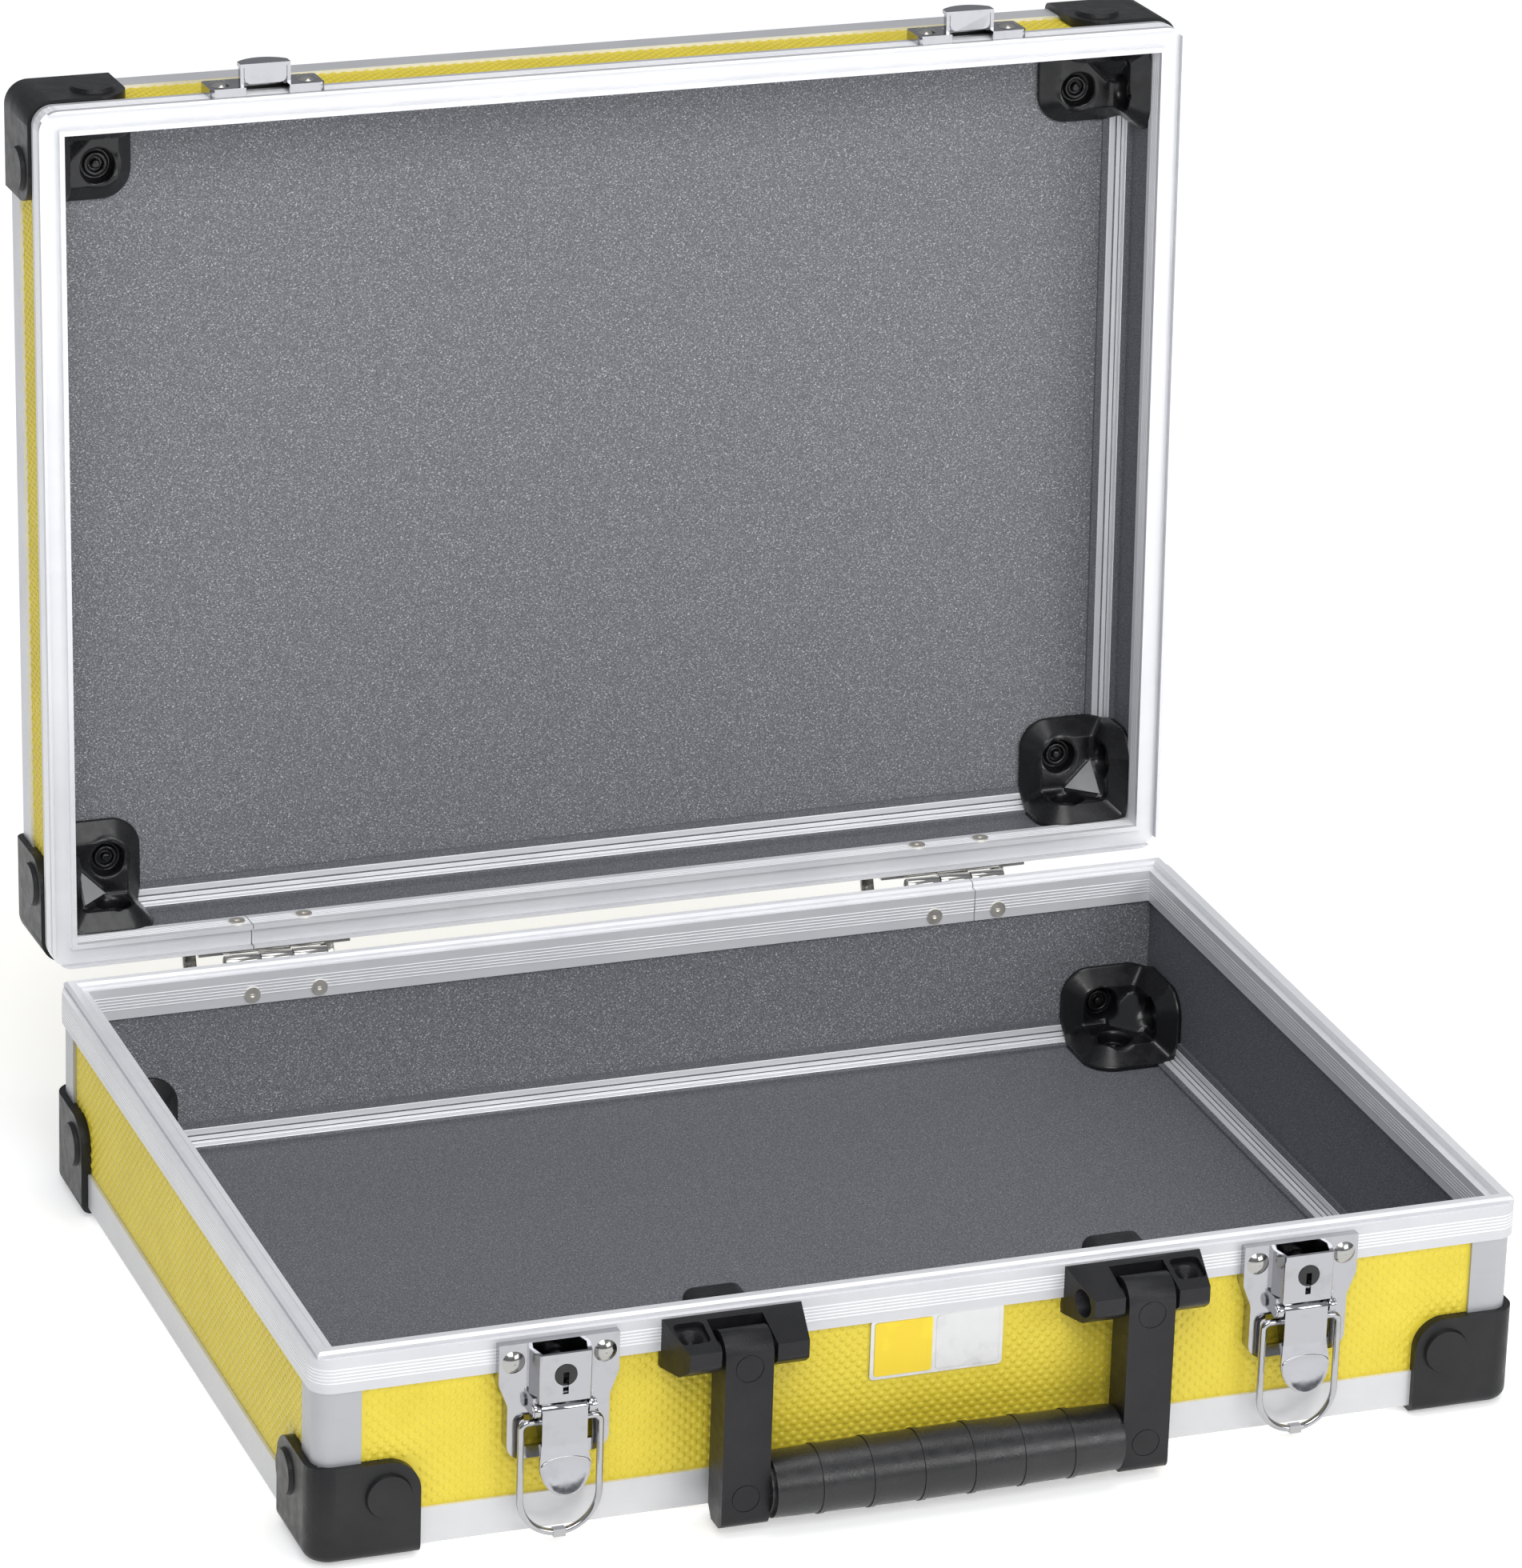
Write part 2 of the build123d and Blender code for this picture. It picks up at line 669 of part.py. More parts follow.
def make_hinge_leaf(name, x, lid_side):
    """A leaf with its knuckles. The lid's leaf also carries the two curved stop arms."""
    frame = lid_frame if lid_side else base_frame
    plane = rear_plane(frame, x)
    section = rear_section(frame, x)
    way = 1 if lid_side else -1
    near = hinge_z + way * (barrel_radius - barrel_strap)
    far = hinge_z + way * (lid_leaf_height if lid_side else base_leaf_height)
    end_knuckle = (barrel_length - middle_knuckle) / 2
    spans = [(-middle_knuckle / 2 + knuckle_gap, middle_knuckle / 2 - knuckle_gap)]
    if not lid_side:
        half = barrel_length / 2
        spans = [(-half, -half + end_knuckle), (half - end_knuckle, half)]
    hole = hinge_pin_radius + (pin_play if lid_side else 0)
    rivet_up = lid_shoulder_up + lid_rivet_drop if lid_side else shoulder_up - base_rivet_drop
    flange = lid_flange_top_up if lid_side else flange_low_up
    with BuildPart() as leaf:
        half = hinge_width / 2
        block(plane, (-half, min(near, far), 0), (half, max(near, far), leaf_thickness))
        lip = sorted((far, far - way * leaf_thickness))
        block(plane, (-half, lip[0], -panel_inset), (half, lip[1], 0))
        for start, end in spans:
            strap = [(0, near), (hinge_back, near), (hinge_back, near + way * barrel_strap)]
            slab(section, [*strap, (0, near + way * barrel_strap)], start, end)
            rod(section, hinge_back, hinge_z, start, end, barrel_radius)
            rod(section, hinge_back, hinge_z, start, end, hole, Mode.SUBTRACT)
        for side in (-1, 1):
            rod(plane, side * hinge_rivet_pitch / 2, rivet_up, -1, 2, rivet_shank_radius + rivet_play, Mode.SUBTRACT)
        if lid_side:
            outer = stop_arm_radius + stop_arm_thickness / 2
            inner = stop_arm_radius - stop_arm_thickness / 2
            foot = opening_angle - 90 - degrees(asin((barrel_radius - stop_clearance) / stop_arm_radius))
            head = 90 + degrees(asin(barrel_radius / inner))
            for side in (-1, 1):
                middle = side * (half - stop_arm_width / 2)
                turns = [radians(angle) for angle in (foot, (foot + head) / 2, head)]
                far_side, near_side = [
                    [(hinge_back + r * cos(turn), hinge_z + r * sin(turn)) for turn in turns]
                    for r in (outer, inner)
                ]
                with BuildSketch(section.offset(middle - stop_arm_width / 2)) as arc:
                    with BuildLine():
                        ThreePointArc(*far_side)
                        Line(far_side[2], near_side[2])
                        ThreePointArc(*near_side)
                        Line(near_side[0], far_side[0])
                    make_face()
                extrude(arc.sketch, amount=stop_arm_width)
    save(name, leaf)


def make_hinge_pins(name):
    with BuildPart() as pins:
        for side in (-1, 1):
            section = rear_section(base_frame, side * hinge_x)
            half = barrel_length / 2
            rod(section, hinge_back, hinge_z, -half, half, hinge_pin_radius)
    save(name, pins)


def plate_sketch(plane, inset):
    """The latch plate's outline, seen from the front."""
    top = shoulder_up - plate_top_drop
    bottom = top - plate_height
    wide, waist = plate_width / 2, plate_waist / 2
    right = [
        (wide, top), (wide, plate_neck_up), (waist, plate_waist_up),
        (waist, bottom + plate_foot), (waist - plate_foot, bottom),
    ]
    left = [(-x, y) for x, y in reversed(right)]
    with BuildSketch(plane) as outline:
        with BuildLine():
            Polyline(*right, *left, close=True)
        make_face()
        bends = [outline.vertices().sort_by_distance((x, y, 0))[0] for x, y in right[1:] + left[:-1]]
        fillet(bends, plate_bend)
        if inset:
            offset(amount=-inset, mode=Mode.REPLACE)
    return outline.sketch


def make_latch_plate(name, x):
    plane = front_plane(base_frame, x)
    top = shoulder_up - plate_top_drop
    rivet_up = shoulder_up - latch_rivet_drop
    inside = plate_standoff - plate_skin
    with BuildPart() as plate:
        extrude(plate_sketch(plane.offset(-panel_inset), 0), amount=plate_standoff + panel_inset)
        extrude(plate_sketch(plane.offset(-panel_inset), plate_skin), amount=inside + panel_inset, mode=Mode.SUBTRACT)
        block(plane, (-plate_width, flange_low_up, -panel_inset - 1), (plate_width, top + 1, 0), Mode.SUBTRACT)
        for side in (-1, 1):
            hole = rivet_shank_radius + rivet_play
            rod(plane, side * latch_rivet_pitch / 2, rivet_up, 0, plate_standoff + 1, hole, Mode.SUBTRACT)
        window = plate_window_width / 2
        block(plane, (-window, plate_window_low, 0), (window, plate_window_high, plate_standoff + 1), Mode.SUBTRACT)
    save(name, plate)


def make_lock_housing(name, x):
    """The upright box of the latch with the lever's lugs under it."""
    plane = front_plane(base_frame, x)
    section = front_section(base_frame, x)
    top = shoulder_up - housing_top_drop
    level = on(base_frame, (x, -case_depth / 2, 0), (1, 0, 0), (0, 0, 1))
    back, front = housing_back_width / 2, housing_front_width / 2
    skin = housing_skin
    outer = [(-back, -plate_standoff), (-front, -lever_front), (front, -lever_front), (back, -plate_standoff)]
    inner = [
        (-back + skin, -plate_standoff), (-front + skin, -lever_front + skin),
        (front - skin, -lever_front + skin), (back - skin, -plate_standoff),
    ]
    lug_inner = lever_width / 2 + ear_gap
    with BuildPart() as housing:
        slab(level, outer, housing_low_up, top, Mode.ADD, 0.6, (1, 2))
        slab(level, inner, housing_low_up - 1, top + 1, Mode.SUBTRACT)
        for side in (-1, 1):
            ends = sorted((side * lug_inner, side * back))
            low = lever_pin_up - lug_radius
            root = [(plate_standoff, low), (lever_pin_out, low), (lever_pin_out, housing_low_up + 1)]
            slab(section, [*root, (plate_standoff, housing_low_up + 1)], *ends)
            rod(section, lever_pin_out, lever_pin_up, *ends, lug_radius)
        rod(section, lever_pin_out, lever_pin_up, -lug_inner, lug_inner, lever_gap, Mode.SUBTRACT)
        rod(section, lever_pin_out, lever_pin_up, -back, back, lever_pin_radius, Mode.SUBTRACT)
        rod(plane, 0, plug_up, plate_standoff + 1, lever_front + 1, plug_radius + pin_play, Mode.SUBTRACT)
        slot = keyhole_slot / 2
        block(
            plane, (-slot, plug_up - keyhole_drop, plate_standoff + 1), (slot, plug_up, lever_front + 1),
            Mode.SUBTRACT,
        )
    save(name, housing)


def make_lock_plug(name, x):
    plane = front_plane(base_frame, x)
    face = lever_front + plug_proud
    collar = lever_front - housing_skin - pin_play
    with BuildPart() as plug:
        rod(plane, 0, plug_up, face - plug_length, face, plug_radius)
        rod(plane, 0, plug_up, collar - 0.8, collar, plug_collar_radius)
        slot = keyhole_slot / 2
        low = (-slot, plug_up - plug_radius, face - keyhole_depth)
        block(plane, low, (slot, plug_up + slot, face + 1), Mode.SUBTRACT)
    save(name, plug)


def make_latch_lever(name, x):
    """The pressed lever: a front plate that rolls over the pin, cheeks, and a thumb tab."""
    plane = front_plane(base_frame, x)
    section = front_section(base_frame, x)
    pin_x, pin_y = lever_pin_out, lever_pin_up
    back = lever_front - lever_skin
    half, wide = lever_width / 2, lever_shoulder_width / 2
    inner = half - lever_skin
    with BuildPart() as lever:
        rod(section, pin_x, pin_y, -wide, wide, lever_nose)
        rod(section, pin_x, pin_y, -wide, wide, lever_nose - lever_skin, Mode.SUBTRACT)
        block(section, (0, pin_y - lever_nose - 1, -wide), (pin_x, pin_y + lever_nose + 1, wide), Mode.SUBTRACT)
        block(section, (0, pin_y - lever_nose - 1, -wide), (lever_front + 1, pin_y, wide), Mode.SUBTRACT)
        front = [
            (back, pin_y), (lever_front, pin_y), (lever_front, lever_crease_up),
            (lever_tip_out, lever_tip_up), (lever_tip_out - lever_skin, lever_tip_up), (back, lever_crease_up),
        ]
        slab(section, front, -wide, wide)
        tab = lever_shoulder_up - lever_tip_up
        with BuildSketch(plane) as outline:
            with BuildLine():
                Line((-half, pin_y + lever_nose), (half, pin_y + lever_nose))
                Line((half, pin_y + lever_nose), (half, lever_crease_up + 1))
                Line((half, lever_crease_up + 1), (wide, lever_shoulder_up))
                EllipticalCenterArc(
                    (0, lever_shoulder_up), wide, tab, start_angle=180, arc_size=180,
                )
                Line((-wide, lever_shoulder_up), (-half, lever_crease_up + 1))
                Line((-half, lever_crease_up + 1), (-half, pin_y + lever_nose))
            make_face()
        extrude(outline.sketch, amount=lever_tip_out + 1, mode=Mode.INTERSECT)
        cheek = [
            (cheek_back, pin_y), (cheek_back, bail_pivot_up - 1.6), (back, cheek_low_up),
            (lever_front, cheek_low_up), (lever_front, pin_y),
        ]
        for side in (-1, 1):
            ends = sorted((side * inner, side * half))
            slab(section, cheek, *ends, Mode.ADD, 1.0, (1,))
            rod(section, pin_x, pin_y, *ends, ear_radius)
        rod(section, pin_x, pin_y, -half, half, lever_pin_radius + pin_play, Mode.SUBTRACT)
        rod(section, bail_pivot_out, bail_pivot_up, -half, half, bail_wire_radius + pin_play, Mode.SUBTRACT)
    save(name, lever)


def make_latch_bail(name, x):
    """The wire loop that hangs from the lever, its ends turned into the cheeks."""
    plane = front_plane(base_frame, x).offset(bail_pivot_out)
    up, wide, bend = bail_pivot_up, bail_half_width, bail_bend
    low = up - bail_length + wide
    turn = bend * cos(radians(45))
    with BuildPart() as bail:
        with BuildLine(plane):
            Line((bail_end, up), (wide - bend, up))
            ThreePointArc((wide - bend, up), (wide - bend + turn, up - bend + turn), (wide, up - bend))
            Line((wide, up - bend), (wide, low))
            ThreePointArc((wide, low), (0, low - wide), (-wide, low))
            Line((-wide, low), (-wide, up - bend))
            ThreePointArc((-wide, up - bend), (bend - wide - turn, up - bend + turn), (bend - wide, up))
            Line((bend - wide, up), (-bail_end, up))
        with BuildSketch(on(plane, (bail_end, up, 0), (0, 1, 0), (1, 0, 0))):
            Circle(bail_wire_radius)
        sweep()
        weld = (weld_length / 2, weld_height / 2, weld_depth / 2)
        middle = up - bail_length
        block(plane, (-weld[0], middle - weld[1], -weld[2]), (weld[0], middle + weld[1], weld[2]))
    save(name, bail)


def make_lever_pins(name):
    with BuildPart() as pins:
        for side in (-1, 1):
            section = front_section(base_frame, side * latch_x)
            half = housing_back_width / 2
            rod(section, lever_pin_out, lever_pin_up, -half, half, lever_pin_radius)
            for end in (-1, 1):
                ends = sorted((end * half, end * (half + pin_collar)))
                rod(section, lever_pin_out, lever_pin_up, *ends, pin_collar_radius)
    save(name, pins)


def make_lid_catch(name, x):
    """The pressed catch that the wire loop drops into when the lid is shut."""
    plane = front_plane(lid_frame, x)
    low = lid_shoulder_up + catch_drop
    high = low + catch_height
    half = catch_width / 2
    inside = catch_standoff - catch_skin
    hook = hook_width / 2
    hook_inner = hook - catch_skin
    hook_bottom = lid_shoulder_up + hook_low
    outline = [(-half, low), (half, low), (half, high), (-half, high)]
    with BuildPart() as catch:
        slab(plane, outline, -panel_inset, catch_standoff, Mode.ADD, catch_radius, (0, 1, 2, 3))
        skin = catch_skin
        block(plane, (-half + skin, low + skin, -panel_inset), (half - skin, high - skin, inside), Mode.SUBTRACT)
        block(plane, (-half, low, -panel_inset), (half, lid_flange_top_up, 0), Mode.SUBTRACT)
        block(
            plane, (-hook_inner, low - 1, -panel_inset), (hook_inner, high - catch_bar, catch_standoff),
            Mode.SUBTRACT,
        )
        for side in (-1, 1):
            ends = sorted((side * hook_inner, side * hook))
            leg = (ends[0], hook_bottom, inside), (ends[1], hook_bottom + hook_leg, hook_out)
            block(plane, *leg)
            hole = rivet_shank_radius + rivet_play
            x_rivet = side * latch_rivet_pitch / 2
            rod(plane, x_rivet, lid_shoulder_up + catch_rivet_up, 0, 4, hole, Mode.SUBTRACT)
        with BuildSketch(plane.offset(hook_out - catch_skin)) as face:
            with BuildLine():
                Line((-hook, hook_bottom), (hook, hook_bottom))
                Line((hook, hook_bottom), (hook, lid_shoulder_up + hook_side))
                ThreePointArc(
                    (hook, lid_shoulder_up + hook_side), (0, lid_shoulder_up + hook_top),
                    (-hook, lid_shoulder_up + hook_side),
                )
                Line((-hook, lid_shoulder_up + hook_side), (-hook, hook_bottom))
            make_face()
        extrude(face.sketch, amount=catch_skin)
        level = on(lid_frame, (x, -case_depth / 2, hook_bottom), (1, 0, 0), (0, 0, 1))
        wide = hook_tab_width / 2
        near = -catch_standoff - hook_tab_clear
        tab = [(-wide, near), (wide, near), (wide, catch_skin - hook_out), (-wide, catch_skin - hook_out)]
        slab(level, tab, 0, catch_skin, Mode.ADD, hook_tab_radius, (0, 1))
    save(name, catch)


def make_handle_bracket(name, x):
    plane = front_plane(base_frame, x)
    section = front_section(base_frame, x)
    level = on(base_frame, (x, -case_depth / 2, 0), (1, 0, 0), (0, 0, 1))
    outside = 1 if x > 0 else -1
    half, channel = bracket_width / 2, bracket_channel / 2
    profile = [
        (-panel_inset, bracket_bottom_up), (bracket_belly_out, bracket_belly_up),
        (bracket_out, bracket_lip_up), (bracket_out, bracket_crease_up), (0, bracket_top_up),
        (0, flange_low_up), (-panel_inset, flange_low_up),
    ]
    front = half - bracket_taper
    plan = [(-half, 0), (-front, -bracket_out), (front, -bracket_out), (half, 0)]
    plan = [(-half, panel_inset), *plan, (half, panel_inset)]
    low, high = bracket_bottom_up - 1, bracket_top_up + 1
    with BuildPart() as bracket:
        slab(section, profile, -half, half, Mode.ADD, 2.4, (1, 2))
        slab(level, plan, low, high, Mode.INTERSECT)
        block(plane, (-channel, low, bracket_back), (channel, high, bracket_out + 1), Mode.SUBTRACT)
        inward = -outside
        seat = half - bracket_bore_depth
        pin = handle_pivot_out, handle_pivot_up
        bore = sorted((-inward * seat, -inward * (half + 1)))
        rod(section, *pin, *bore, bracket_bore_radius, Mode.SUBTRACT)
        inner_hole = sorted((-inward * (channel - 1), -inward * (seat + 1)))
        rod(section, *pin, *inner_hole, handle_pin_radius, Mode.SUBTRACT)
        outer_hole = sorted((inward * (channel - 1), inward * (channel + handle_pin_seat)))
        rod(section, *pin, *outer_hole, handle_pin_radius, Mode.SUBTRACT)
        fall = bracket_top_up - bracket_crease_up
        slope = on(
            base_frame, (x + outside * (channel + 5.6), -case_depth / 2, bracket_top_up),
            (1, 0, 0), (0, -fall, bracket_out),
        )
        wide = bracket_pocket_width / 2
        pocket = [(-wide, -11.2), (wide, -11.2), (wide, -11.2 + bracket_pocket_length), (-wide, -2.6)]
        slab(slope, pocket, -bracket_pocket_depth, 2, Mode.SUBTRACT, 1.6, (0, 1, 2, 3))
        with Locations(slope.offset(-bracket_pocket_depth).location * Location((0, -6.9, 0))):
            Cone(
                0.8, bracket_cone_radius, bracket_cone_depth,
                align=(Align.CENTER, Align.CENTER, Align.MAX), mode=Mode.SUBTRACT,
            )
        for side in (-1, 1):
            x_screw = side * bracket_screw_pitch / 2
            rod(plane, x_screw, bracket_screw_up, -3, bracket_screw_bite, bracket_screw_radius, Mode.SUBTRACT)
    save(name, bracket)


def make_backing_plates(name):
    with BuildPart() as plates:
        for side in (-1, 1):
            plane = front_plane(base_frame, side * handle_x)
            half = backing_width / 2
            low, high = backing_bottom_up, backing_top_up
            outline = [(-half, low), (half, low), (half, high), (-half, high)]
            slab(plane, outline, -backing_depth, -rim_thickness - backing_play, Mode.ADD, backing_radius, (0, 1, 2, 3))
            foot = flange_low_up - backing_play
            outline = [(-half, low), (half, low), (half, foot), (-half, foot)]
            slab(plane, outline, -rim_thickness - backing_play, -panel_inner, Mode.ADD, backing_radius, (0, 1))
            for screw in (-1, 1):
                x_screw = screw * bracket_screw_pitch / 2
                hole = bracket_screw_radius + rivet_play
                rod(plane, x_screw, bracket_screw_up, -backing_depth, 0, hole, Mode.SUBTRACT)
    save(name, plates)


def make_handle_screws(name):
    with BuildPart() as screws:
        for side in (-1, 1):
            plane = front_plane(base_frame, side * handle_x)
            for screw in (-1, 1):
                x_screw = screw * bracket_screw_pitch / 2
                head = -backing_depth - screw_head_height
                rod(plane, x_screw, bracket_screw_up, head, -backing_depth, screw_head_radius)
                rod(plane, x_screw, bracket_screw_up, -backing_depth, bracket_screw_bite, bracket_screw_radius)
    save(name, screws)


def make_pivot_pins(name):
    with BuildPart() as pins:
        for side in (-1, 1):
            section = front_section(base_frame, side * handle_x)
            pin = handle_pivot_out, handle_pivot_up
            inward = bracket_width / 2 - bracket_bore_depth + handle_pin_tip
            outward = bracket_channel / 2 + handle_pin_seat
            rod(section, *pin, *sorted((side * inward, -side * outward)), handle_pin_radius)
    save(name, pins)


def make_handle_arm(name, x):
    plane = front_plane(base_frame, x)
    section = front_section(base_frame, x)
    half = arm_width / 2
    pin = handle_pivot_out, handle_pivot_up
    outline = [
        (arm_back_out, handle_pivot_up), (arm_back_out, arm_bottom_up + arm_chamfer_up),
        (arm_back_out + arm_chamfer_out, arm_bottom_up), (arm_front_out, arm_bottom_up),
        (arm_front_out, handle_pivot_up),
    ]
    inner_end = half if x > 0 else -half
    with BuildPart() as arm:
        slab(section, outline, -half, half, Mode.ADD, arm_corner_radius, (3,))
        rod(section, *pin, -half, half, arm_head_radius)
        boss = bracket_channel / 2 - arm_boss_play
        rod(section, *pin, -boss, boss, arm_boss_radius)
        rod(section, *pin, -boss, boss, handle_pin_radius + pin_play, Mode.SUBTRACT)
        hole = sorted((inner_end, inner_end - (1 if x > 0 else -1) * grip_pin_length))
        rod(section, grip_out, grip_up, *hole, grip_pin_radius, Mode.SUBTRACT)
        for up in arm_ring_ups:
            with BuildSketch(plane.offset(arm_front_out - arm_ring_depth)) as groove:
                with Locations((0, up)):
                    Circle(arm_ring_radius)
                    Circle(arm_ring_radius - arm_ring_width, mode=Mode.SUBTRACT)
            extrude(groove.sketch, amount=1, mode=Mode.SUBTRACT)
    save(name, arm)


def make_handle_grip(name):
    """The round grip, its collars, ridges and the pins that hold it between the arms."""
    reach = handle_x - arm_width / 2
    body = reach - grip_collar
    axis = on(base_frame, (0, -case_depth / 2 - grip_out, grip_up), (1, 0, 0), (0, -1, 0))
    with BuildPart() as grip:
        with BuildSketch(axis) as profile:
            with BuildLine():
                Line((-body, 0), (-body, grip_end_radius))
                ThreePointArc((-body, grip_end_radius), (0, grip_radius), (body, grip_end_radius))
                Line((body, grip_end_radius), (body, 0))
                Line((body, 0), (-body, 0))
            make_face()
        revolve(profile.sketch, axis=Axis(axis.origin, axis.x_dir))
        section = on(axis, (0, 0, 0), (0, 1, 0), (1, 0, 0))
        for number in range(grip_ridges):
            middle = (number - (grip_ridges - 1) / 2) * grip_ridge_pitch
            radius = grip_radius - (grip_radius - grip_end_radius) * (middle / body) ** 2 + grip_ridge_height
            rod(section, 0, 0, middle - grip_ridge_width / 2, middle + grip_ridge_width / 2, radius)
        rod(section, 0, 0, -reach, reach, grip_collar_radius)
        rod(section, 0, 0, -reach - grip_pin_length, reach + grip_pin_length, grip_pin_radius)
    save(name, grip)


def make_badge(name):
    plane = front_plane(base_frame, badge_x).offset(-panel_inset)
    with BuildPart() as badge:
        with BuildSketch(plane):
            with Locations((0, badge_up)):
                RectangleRounded(badge_width, badge_height, badge_radius)
        extrude(amount=badge_thickness)
    save(name, badge)


for shell_name in SHELLS:
    for wall in WALLS:
        make_wall_panel(shell_name, wall)
    make_rim_frame(shell_name)
    make_corner_posts(shell_name)
    make_edge_profiles(shell_name)
    for corner in CORNERS:
        make_outer_corner(shell_name, corner)
    make_corner_rivets(shell_name)
    make_inner_corners(shell_name)
make_face_panel("base", "base_floor_panel")
make_face_panel("lid", "lid_top_panel")

for side, sign in (("left", -1), ("right", 1)):
    make_hinge_leaf(f"hinge_base_leaf_{side}", sign * hinge_x, False)
    make_hinge_leaf(f"hinge_lid_leaf_{side}", sign * hinge_x, True)
    make_latch_plate(f"latch_plate_{side}", sign * latch_x)
    make_lock_housing(f"lock_housing_{side}", sign * latch_x)
    make_lock_plug(f"lock_plug_{side}", sign * latch_x)
    make_latch_lever(f"latch_lever_{side}", sign * latch_x)
    make_latch_bail(f"latch_bail_{side}", sign * latch_x)
    make_lid_catch(f"lid_catch_{side}", sign * latch_x)
    make_handle_bracket(f"handle_bracket_{side}", sign * handle_x)
    make_handle_arm(f"handle_arm_{side}", sign * handle_x)
make_hinge_pins("hinge_pins")
make_lever_pins("latch_lever_pins")
make_pivot_pins("handle_pivot_pins")
make_backing_plates("handle_backing_plates")
make_handle_screws("handle_screws")
make_handle_grip("handle_grip")
make_badge("badge_plate")
rears = [rear_plane(base_frame, side * hinge_x) for side in (-1, 1)]
make_rivets(
    "hinge_base_rivets", rears, hinge_rivet_pitch, shoulder_up - base_rivet_drop, leaf_thickness, base_head_radius
)
rears = [rear_plane(lid_frame, side * hinge_x) for side in (-1, 1)]
make_rivets(
    "hinge_lid_rivets", rears, hinge_rivet_pitch, lid_shoulder_up + lid_rivet_drop, leaf_thickness, lid_head_radius
)
fronts = [front_plane(base_frame, side * latch_x) for side in (-1, 1)]
make_rivets(
    "latch_plate_rivets", fronts, latch_rivet_pitch, shoulder_up - latch_rivet_drop, plate_standoff, base_head_radius
)
fronts = [front_plane(lid_frame, side * latch_x) for side in (-1, 1)]
make_rivets(
    "lid_catch_rivets", fronts, latch_rivet_pitch, lid_shoulder_up + catch_rivet_up, catch_standoff, base_head_radius
)
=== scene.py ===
"""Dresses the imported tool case: camera, light, materials and the small surface pieces."""
import json
import math

import bmesh
import bpy
import numpy as np
from mathutils import Matrix, Vector


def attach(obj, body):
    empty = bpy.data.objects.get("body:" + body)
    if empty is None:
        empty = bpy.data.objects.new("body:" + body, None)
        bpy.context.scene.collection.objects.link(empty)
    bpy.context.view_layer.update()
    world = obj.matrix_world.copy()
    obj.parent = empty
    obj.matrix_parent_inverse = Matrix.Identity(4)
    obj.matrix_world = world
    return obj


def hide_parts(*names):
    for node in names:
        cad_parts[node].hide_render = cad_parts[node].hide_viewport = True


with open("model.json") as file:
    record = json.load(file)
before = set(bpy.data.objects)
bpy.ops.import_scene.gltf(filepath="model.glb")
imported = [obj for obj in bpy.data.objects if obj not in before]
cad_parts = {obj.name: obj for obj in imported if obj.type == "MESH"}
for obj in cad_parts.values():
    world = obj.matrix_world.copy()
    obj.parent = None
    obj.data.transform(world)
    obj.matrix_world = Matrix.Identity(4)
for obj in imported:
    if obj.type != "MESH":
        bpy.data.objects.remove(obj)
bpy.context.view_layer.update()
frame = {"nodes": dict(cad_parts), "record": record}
nodes = frame["nodes"]
scene = bpy.context.scene
MM = 0.001

# Camera: one pinhole camera fitted to the photograph, no shift
IMAGE_W, IMAGE_H = 1902, 1960
FOCAL_PX = 9651.2
TILT, PAN, ROLL = 112.04, 20.58, 1.84
CENTRE_MM = (-700.8, -1867.0, 955.1)


def turn(angle, axis):
    return Matrix.Rotation(math.radians(angle), 3, axis)


def make_camera():
    world_to_view = turn(ROLL, "Z") @ turn(TILT, "X") @ turn(PAN, "Z")
    right, down, ahead = world_to_view[0], world_to_view[1], world_to_view[2]
    pose = Matrix((right, -down, -ahead)).transposed().to_4x4()
    pose.translation = Vector(CENTRE_MM) * MM
    data = bpy.data.cameras.new("camera")
    data.sensor_fit = "AUTO"
    data.sensor_width = 36.0
    data.lens = FOCAL_PX / IMAGE_H * 36.0
    data.clip_start, data.clip_end = 0.05, 50.0
    camera = bpy.data.objects.new("camera", data)
    camera.matrix_world = pose
    scene.collection.objects.link(camera)
    scene.camera = camera


make_camera()


# Node helpers
def new_material(name, color, rough, metal=0.0, **extra):
    material = bpy.data.materials.new(name)
    material.use_nodes = True
    tree = material.node_tree
    shader = tree.nodes["Principled BSDF"]
    shader.inputs["Base Color"].default_value = (*color, 1.0)
    shader.inputs["Roughness"].default_value = rough
    shader.inputs["Metallic"].default_value = metal
    for key, value in extra.items():
        shader.inputs[key.replace("_", " ")].default_value = value
    material.diffuse_color = (*color, 1.0)
    return material, tree, shader


def add(tree, kind, **settings):
    node = tree.nodes.new(kind)
    for key, value in settings.items():
        if key in node.inputs:
            node.inputs[key].default_value = value
        else:
            setattr(node, key, value)
    return node


def place(tree, stretch=(1, 1, 1), spin=(0, 0, 0)):
    """Object coordinates in metres, stretched along the axes, then turned."""
    coord = add(tree, "ShaderNodeTexCoord")
    mapping = add(tree, "ShaderNodeMapping")
    mapping.inputs["Scale"].default_value = stretch
    mapping.inputs["Rotation"].default_value = spin
    tree.links.new(coord.outputs["Object"], mapping.inputs["Vector"])
    return mapping.outputs["Vector"]


def noise(tree, vector, scale, detail=3.0, rough=0.5):
    node = add(tree, "ShaderNodeTexNoise")
    node.inputs["Scale"].default_value = scale
    node.inputs["Detail"].default_value = detail
    node.inputs["Roughness"].default_value = rough
    tree.links.new(vector, node.inputs["Vector"])
    return node.outputs["Fac"]


